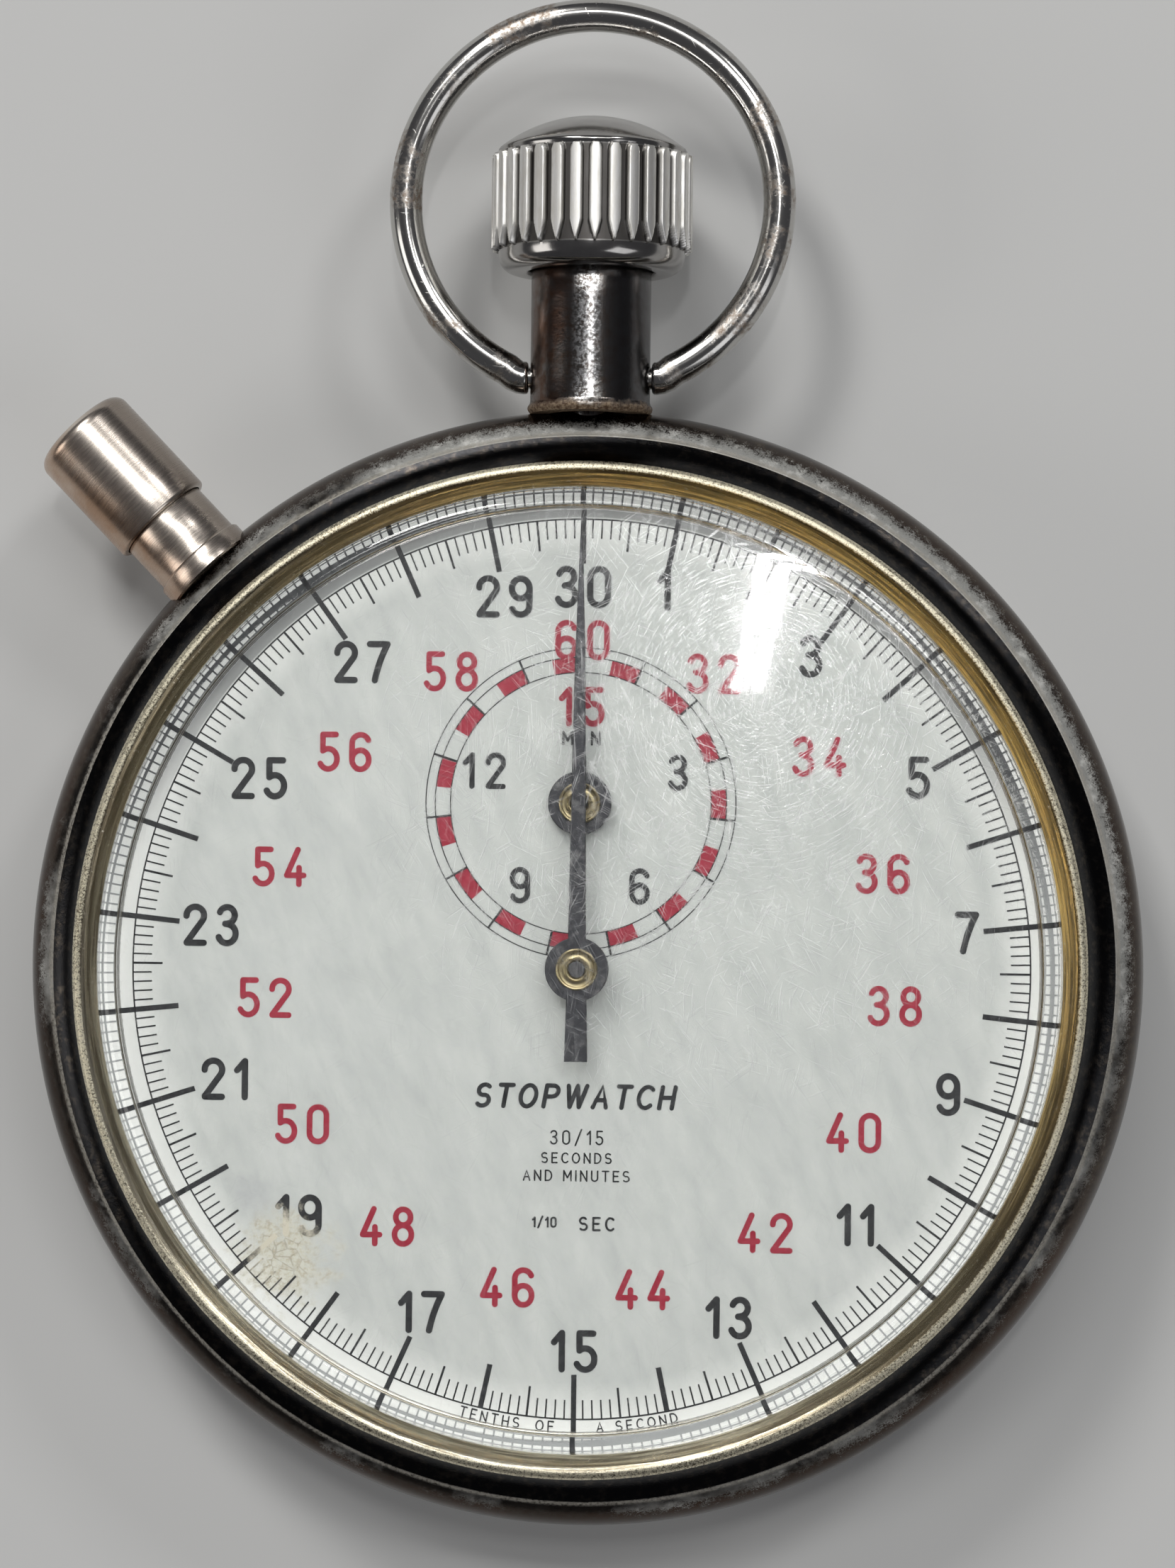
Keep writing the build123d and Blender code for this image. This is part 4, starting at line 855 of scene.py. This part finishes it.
def pendant():
    """Neck with a soldered bead round its foot."""
    tube = [(1.9, 32.5), (2.0, 32.6), (2.5, 32.6), (2.66, 32.53), (2.75, 32.38)]
    tube += [(2.75, y) for y in (30.5, 28.5, 27.0, 25.9)]
    tube += [(2.755, 25.86), (2.79, 25.75), (2.86, 25.66), (2.88, 25.56)]
    tube += [(2.84, 25.46), (2.78, 25.38), (2.74, 25.32), (1.9, 25.31), (1.9, 28.0)]
    lathe("pendant_neck", tube, PENDANT, "case", "pendant_tube", TO_CROWN, segments=160)


def bow():
    """Wire ring on one path: pin, shoulder, round the loop, shoulder, pin."""
    wire, centre, ring_r, steps = 0.75, 35.1, 8.6, 150
    opening = math.radians(26.5)  # half the gap between the shoulders, seen from the loop's centre
    loop = []
    for k in range(steps):
        a = opening - math.pi / 2 + (TAU - 2 * opening) * k / steps
        loop.append((ring_r * math.cos(a), centre + ring_r * math.sin(a)))
    pin_y = 27.0
    pin = [(x, pin_y) for x in (2.25, 2.83, 2.86, 2.92, 3.0)] + [(3.25, 27.03), (3.5, 27.13)]
    path = pin + loop + [(-x, y) for x, y in loop[:1] + pin[::-1]]
    ends = [0.5, 0.5, 0.66, 0.73]
    radii = ends + [wire] * (len(path) - 2 * len(ends)) + ends[::-1]
    bm = bmesh.new()
    tube_into(bm, [(x, y, MID_Z) for x, y in path], radii, 40)
    finish_object("bow_wire", bm, BRIGHT, "bow_ring", "bow", sharp=50)


def flute_rise(u, y):
    """How far a land stands out, 0 to 1. u is 1 in a groove and 0 in the middle of a land."""
    point, arch, land = 0.95, 0.42, 0.74  # length of the pointed foot, of the arched top, and share of a land
    width = land
    if y < CROWN_LOW + point:
        width *= max(0.0, (y - CROWN_LOW) / point) ** 0.75
    if y > CROWN_HIGH - arch:
        width *= math.sqrt(max(0.0, 1 - ((y - CROWN_HIGH + arch) / arch) ** 2))
    rise = min(1.0, max(0.0, (width - u) / (0.20 * min(1.0, 0.25 + width))))
    return rise * rise * (3 - 2 * rise) * (1 - 0.12 * (u / land) ** 2)


def crown():
    """Turned crown with rounded flutes, pointed below and arched above."""
    flutes, per_flute, land_r, body_r, steps = 32, 24, 4.62, 4.30, 44
    hollow_top, top = 35.6, 39.0
    rows = [(2.87, hollow_top), (2.87, 33.5), (2.87, 31.95), (2.93, 31.83), (3.05, 31.8), (3.4, 31.8)]
    rows += through(rows[-1], (4.04, 32.0), (4.28, 32.5), 10)
    rows += [(body_r, CROWN_LOW + (CROWN_HIGH - CROWN_LOW) * k / steps) for k in range(steps + 1)]
    rows += [(4.32, 37.33), (4.33, 37.42), (4.28, 37.50)]
    rows += dome(4.28, 37.5, top, 26)[:-1]
    bm = bmesh.new()
    columns = flutes * per_flute
    grid = [level(bm, [(0, 0)], hollow_top)]
    for r, y in rows:
        line = []
        for k in range(columns):
            proud = 0.0
            if CROWN_LOW < y < CROWN_HIGH:
                proud = (land_r - body_r) * flute_rise(abs(2 * ((k % per_flute) / per_flute) - 1), y)
            a = TAU * k / columns
            line.append(((r + proud) * math.cos(a), (r + proud) * math.sin(a)))
        grid.append(level(bm, line, y))
    skin(bm, grid + [level(bm, [(0, 0)], top)])
    finish_object("crown_fluted", bm, CROWN_METAL, "crown_unit", "crown", TO_CROWN, sharp=60)


def pusher():
    """Fixed sleeve with a collar, and the hollow cap that slides over it."""
    sleeve = [(0.75, 24.95), (1.55, 24.95), (2.22, 24.95), (2.3, 25.03), (2.3, 25.82), (2.24, 25.9)]
    sleeve += [(2.17, 25.93), (2.15, 26.0), (2.15, 27.0), (2.15, 29.18), (2.08, 29.28), (1.6, 29.3)]
    sleeve += [(1.6, 26.0), (0.75, 26.0)]
    lathe("pusher_sleeve", sleeve, PUSHER, "case", "pusher_tube", TO_PUSHER, segments=160)
    cap = [(2.2, 28.3), (2.36, 28.3), (2.44, 28.36), (2.47, 28.46), (2.47, 30.0), (2.47, 32.0), (2.47, 33.5)]
    cap += through(cap[-1], (2.31, 33.93), (1.87, 34.1), 12)
    cap += dome(1.87, 34.1, 34.2, 6)
    cap += [(0, 33.2), (0.7, 33.2), (0.7, 31.2), (2.2, 31.2)]
    lathe("pusher_button", cap, PUSHER, "pusher_unit", "pusher_cap", TO_PUSHER, segments=160)


def coil(name, node, body, matrix, coil_r, wire_r, low, high, turns):
    """Helical spring along the axis that the matrix gives, with its end turns closer."""
    steps, around, up = 48 * turns, 12, Vector((0, 0, 1))
    bm = bmesh.new()
    rings = []
    for i in range(steps + 1):
        t = i / steps
        spread = t * t * (3 - 2 * t) * 0.35 + t * 0.65  # rises more slowly at both ends
        a = TAU * turns * t
        out = Vector((math.cos(a), math.sin(a), 0))
        middle = out * coil_r + up * (low + wire_r + (high - low - 2 * wire_r) * spread)
        ends = [TAU * k / around for k in range(around)]
        rings.append([bm.verts.new(middle + (out * math.cos(b) + up * math.sin(b)) * wire_r) for b in ends])
    skin(bm, rings)
    bm.faces.new(rings[0])
    bm.faces.new(rings[-1])
    return finish_object(name, bm, INNER["polished_steel"], body, node, matrix, sharp=50)


def springs():
    """Return springs, which shorten as the crown and the pusher go in."""
    low, high = 26.22, 35.58
    piece = coil("crown_return_spring", "crown_spring", "case", TO_CROWN, 1.76, 0.15, low, high, 9)
    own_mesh(piece)
    low, high = 26.02, 31.18
    piece = coil("pusher_return_spring", "pusher_spring", "case", TO_PUSHER, 1.15, 0.14, low, high, 7)
    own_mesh(piece)


# ================ hands
def inset(points, by):
    """An outline moved inwards by a little."""
    result = []
    for before, p, after in zip(points[-1:] + points, points, points[1:] + points[:1]):
        tx, ty = after[0] - before[0], after[1] - before[1]
        length = math.hypot(tx, ty) or 1
        result.append((p[0] - ty / length * by, p[1] + tx / length * by))
    return result


def hand(name, node, body, centre, z, thick, tail, taper):
    """Flat hand with a bevelled upper edge.

    taper lists (y, half width) from the hub to the tip. tail is the same below the hub, or empty.
    """
    hub, hole_r, bevel = 1.43, 0.93, 0.035

    def edge(points, side):
        return [(side * w, y) for y, w in points]

    up = math.degrees(math.asin(taper[0][1] / hub))
    down = math.degrees(math.asin(tail[0][1] / hub)) if tail else 0
    right = arc(0, 0, hub, hub, down - 90, 90 - up, 40)
    outline = right + edge(taper, 1) + edge(taper[::-1], -1)
    outline += [(-x, y) for x, y in right[::-1]]
    if tail:
        outline += edge(tail, -1) + edge(tail[::-1], 1)
    else:
        outline.pop()
    outline = [(x + centre[0], y + centre[1]) for x, y in outline]
    hole = circle(centre, hole_r, 48)
    top = z + thick
    bm = bmesh.new()
    outer = [level(bm, outline, z), level(bm, outline, top - bevel), level(bm, inset(outline, bevel), top)]
    inner = [level(bm, hole, z), level(bm, hole, top)]
    skin(bm, outer)
    skin(bm, inner)
    fill(bm, (outer[0], inner[0]))
    fill(bm, (outer[-1], inner[-1]))
    finish_object(name, bm, HAND, body, node, sharp=25)


def boss(name, node, body, centre, z):
    """Brass bush with a turned step, a groove and a hollow round the arbor."""
    profile = [(0.37, -0.24), (0.93, -0.24), (0.94, 0.22), (0.92, 0.28), (0.87, 0.31), (0.82, 0.30)]
    profile += [(0.78, 0.25), (0.70, 0.235), (0.58, 0.24), (0.53, 0.27), (0.49, 0.32), (0.45, 0.315)]
    profile += [(0.41, 0.27), (0.38, 0.22), (0.37, 0.20)]
    bm = bmesh.new()
    lathe_into(bm, [(r, z + h) for r, h in profile], 96, centre=centre)
    finish_object(name, bm, BOSS, body, node, sharp=30)


# ================ dial
def spoke(bm, angle, r0, r1, width, lift, centre=(0, 0)):
    """Adds one tick. angle is in degrees clockwise from the top."""
    a = math.radians(90 - angle)
    c, s = math.cos(a), math.sin(a)
    corners = [(r0, -width / 2), (r1, -width / 2), (r1, width / 2), (r0, width / 2)]
    corners = [(centre[0] + x * c - y * s, centre[1] + x * s + y * c) for x, y in corners]
    prism(bm, corners, INK_LOW, INK_HIGH + lift)


def hoop(bm, centre, r, width, lift, segments):
    """Adds one printed circle."""
    outer, inner = (circle(centre, r + side * width / 2, segments) for side in (1, -1))
    band_between(bm, outer, inner, INK_LOW, INK_HIGH + lift)


def clock(r, angle, centre=(0, 0)):
    """A point at a distance from a centre. angle is in degrees clockwise from the top."""
    a = math.radians(90 - angle)
    return centre[0] + r * math.cos(a), centre[1] + r * math.sin(a)


def dial():
    """Enamelled disc with a chamfered edge and a hole for each arbor."""
    chamfer = 0.04
    bm = bmesh.new()
    rows = [(DIAL_R - chamfer, DIAL_TOP), (DIAL_R, DIAL_TOP - chamfer), (DIAL_R, DIAL_LOW)]
    parts = [[level(bm, circle((0, 0), r, 256), z) for r, z in rows]]
    for centre in ((0, 0), SUB):
        parts.append([level(bm, circle(centre, ARBOR_HOLE_R, 48), z) for z in (DIAL_TOP, DIAL_LOW)])
    for loops in parts:
        skin(bm, loops)
    for side in (0, -1):
        fill(bm, [loops[side] for loops in parts])
    finish_object("dial_disc", bm, DIAL, "case", "dial", sharp=30)


def scales(black, red, grey):
    """Tenths of a second round the dial, a hatched ring outside them painted in grey as the crystal's
    shoulder refracts the scale, and the small dial's minutes.

    Lines that cross have slightly different heights, so that no faces coincide.
    """
    ticks, edge = 300, 20.25
    for k in range(ticks):
        angle = k * 360 / ticks
        if k % 10 == 0:
            outer = edge if k in (140, 160) else 21.8  # these two leave room for the lettering
            spoke(black, angle, 18.25, outer, 0.24, 0.003)
            continue
        length, width = (1.35, 0.10) if k % 5 == 0 else (0.86, 0.07)
        spoke(black, angle, edge - length, edge, width, 0.0015)
        # Painted refraction: grey ticks of the hatched ring.
        spoke(grey, angle, 20.84, 21.28, 0.08, -0.002)
    hoop(black, (0, 0), edge, 0.07, 0, 360)
    # Painted refraction: the hatched ring's two grey circles.
    for r in (20.96, 21.16):
        hoop(grey, (0, 0), r, 0.07, -0.003, 360)

    outside, inside, step = 7.0, 5.89, 24
    for r in (outside, 6.58, inside):
        hoop(black, SUB, r, 0.05, 0, 180)
    for k in range(15):
        spoke(black, step * k, inside, outside, 0.10, 0.003, SUB)
        start = 90 - step * k
        outer, inner = (arc(*SUB, r, r, start, start + step / 2, 12) for r in (6.56, 5.91))
        prism(red, outer + inner[::-1], INK_LOW, INK_HIGH - 0.002)


def figures(black, red):
    """Figures of both dials. Those at the sides stand a little further in."""
    for n in [*range(1, 30, 2), 30, *range(32, 61, 2)]:
        angle = 12 * n
        side = abs(math.sin(math.radians(angle)))
        if n > 30:
            write(red, str(n), clock(14.8 - 0.5 * side, angle), 1.82, 0.26, 0.42)
        else:
            write(black, str(n), clock(17.5 if n < 10 else 17.2 - 0.4 * side, angle), 1.92, 0.29, 0.39)
    for n in (3, 6, 9, 12):
        write(black, str(n), clock(4.6, 24 * n, SUB), 1.65, 0.24, 0.48)
    write(red, "15", (SUB[0], SUB[1] + 4.35), 1.80, 0.27, 0.46)
    write(black, "MIN", (SUB[0], SUB[1] + 2.93), 0.66, 0.11, 0.34)


def lettering(black):
    """Words on the dial. Each has its place, height, stroke and spacing."""
    write(black, "STOPWATCH", (-0.15, -5.75), 1.15, 0.20, 0.22, slant=0.18)
    write(black, "30/15", (0, -7.60), 0.66, 0.075, 0.2)
    write(black, "SECONDS", (0, -8.52), 0.50, 0.07, 0.15)
    write(black, "AND MINUTES", (0, -9.32), 0.52, 0.07, 0.15)
    write(black, "1/10", (-1.42, -11.42), 0.5, 0.085, 0.07)
    write(black, "SEC", (0.95, -11.47), 0.65, 0.10, 0.19)
    for text, middle in (("TENTHS", -100.6), ("OF", -93.6), ("A SECOND", -82.0)):
        write_round(black, text, 20.60, middle, 0.50, 0.065, 0.17)


def dial_print():
    """Scales, figures and lettering as thin layers of ink on the dial, with the painted refraction ring in
    grey.
    """
    black, red, grey = bmesh.new(), bmesh.new(), bmesh.new()
    scales(black, red, grey)
    figures(black, red)
    lettering(black)
    for name, bm, material in (("print_black", black, BLACK_INK), ("print_red", red, RED_INK),
                               ("print_grey", grey, REFRACTION_PAINTED_INK)):
        finish_object(name, bm, material, "case", sharp=30)


# ================ build
case_band()
back_cover()
bezel()
crystal()
pendant()
bow()
crown()
pusher()
springs()
dial()
dial_print()
hand("sweep_hand", "seconds_hand", "seconds_unit", (0, 0), HAND_LOW, 0.2,
     tail=[(-1.5, 0.46), (-4.14, 0.52)], taper=[(1.5, 0.40), (14.0, 0.23), (20.1, 0.03)])
hand("counter_hand", "minute_hand", "minute_unit", SUB, COUNTER_LOW, 0.16,
     tail=[], taper=[(1.5, 0.31), (5.75, 0.04)])
boss("sweep_boss", "seconds_boss", "seconds_unit", (0, 0), HAND_LOW)
boss("counter_boss", "minute_boss", "minute_unit", SUB, COUNTER_LOW)

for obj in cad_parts.values():
    for part in obj.material_slots:
        part.material = next((INNER[key] for key in INNER if key in part.material.name), part.material)


# ================ floor, light, camera
def floor():
    """Plain pale paper."""
    s = Shader("floor_paper", Roughness=0.85)
    s.set(Base_Color=s.mix(s.noise(0.02, 3.0), (0.66, 0.66, 0.65), (0.70, 0.70, 0.69)))
    s.bump(s.noise(1.4, 5.0), 0.06, 0.03)
    bm = bmesh.new()
    half_width = 1.5  # metres
    bmesh.ops.create_grid(bm, x_segments=8, y_segments=8, size=half_width)
    obj = add_object("floor", bm)
    obj.data.materials.append(s.material)


def area(name, at, size, power, colour=(1, 1, 1), size_y=None, twist=0.0):
    """Soft box aimed at the origin. Places and sizes are in metres, power in watts, twist in degrees."""
    data = bpy.data.lights.new(name, "AREA")
    data.energy, data.color = power, colour
    data.shape = "RECTANGLE" if size_y else "SQUARE"
    data.size = size
    if size_y:
        data.size_y = size_y
    obj = bpy.data.objects.new(name, data)
    obj.location = at
    facing = Vector(at).to_track_quat("Z", "Y").to_matrix()
    obj.rotation_euler = (facing @ Matrix.Rotation(math.radians(twist), 3, "Z")).to_euler()
    bpy.context.scene.collection.objects.link(obj)


def lights():
    """Studio boxes, and a pair of narrow ones for the bright bar in the crystal."""
    area("key", (-0.22, 0.50, 0.52), 0.16, 1.65, (1.0, 0.99, 0.97))
    area("fill", (0.50, -0.30, 0.55), 0.42, 0.65, (0.97, 0.98, 1.0))
    area("side", (-0.62, -0.10, 0.35), 0.30, 0.6, (1.0, 0.98, 0.95))
    area("high", (0.02, 0.27, 0.60), 0.52, 0.85, (1.0, 1.0, 0.99), size_y=0.075)
    area("glint", (0.33, 0.42, 0.48), 0.10, 0.5)
    for name, shift in (("strip_left", -0.0048), ("strip_right", 0.0048)):
        area(name, (0.046 + shift, 0.152, 0.60), 0.0055, 0.12, size_y=0.066, twist=6)
    world = bpy.data.worlds.new("studio")
    world.use_nodes = True
    world.node_tree.nodes["Background"].inputs["Color"].default_value = (0.075, 0.075, 0.08, 1)
    bpy.context.scene.world = world
    bpy.context.scene.view_settings.view_transform = "Standard"


def camera():
    """Looks down from a little right of the middle, rolled slightly. Places are in metres."""
    data = bpy.data.cameras.new("camera")
    data.sensor_width = 36
    data.lens = 101.9
    data.clip_start = 0.01
    position = Vector((0.0138, 0.00534, 0.20894))
    aim = Vector((0.00009, 0.00838, 0.006))
    forward = (aim - position).normalized()
    roll = math.radians(0.672)
    right = forward.cross(Vector((-math.sin(roll), math.cos(roll), 0))).normalized()
    up = right.cross(forward)
    matrix = Matrix((right, up, -forward)).transposed().to_4x4()
    matrix.translation = position
    obj = bpy.data.objects.new("camera", data)
    obj.matrix_world = matrix
    bpy.context.scene.collection.objects.link(obj)
    bpy.context.scene.camera = obj


floor()
lights()
camera()
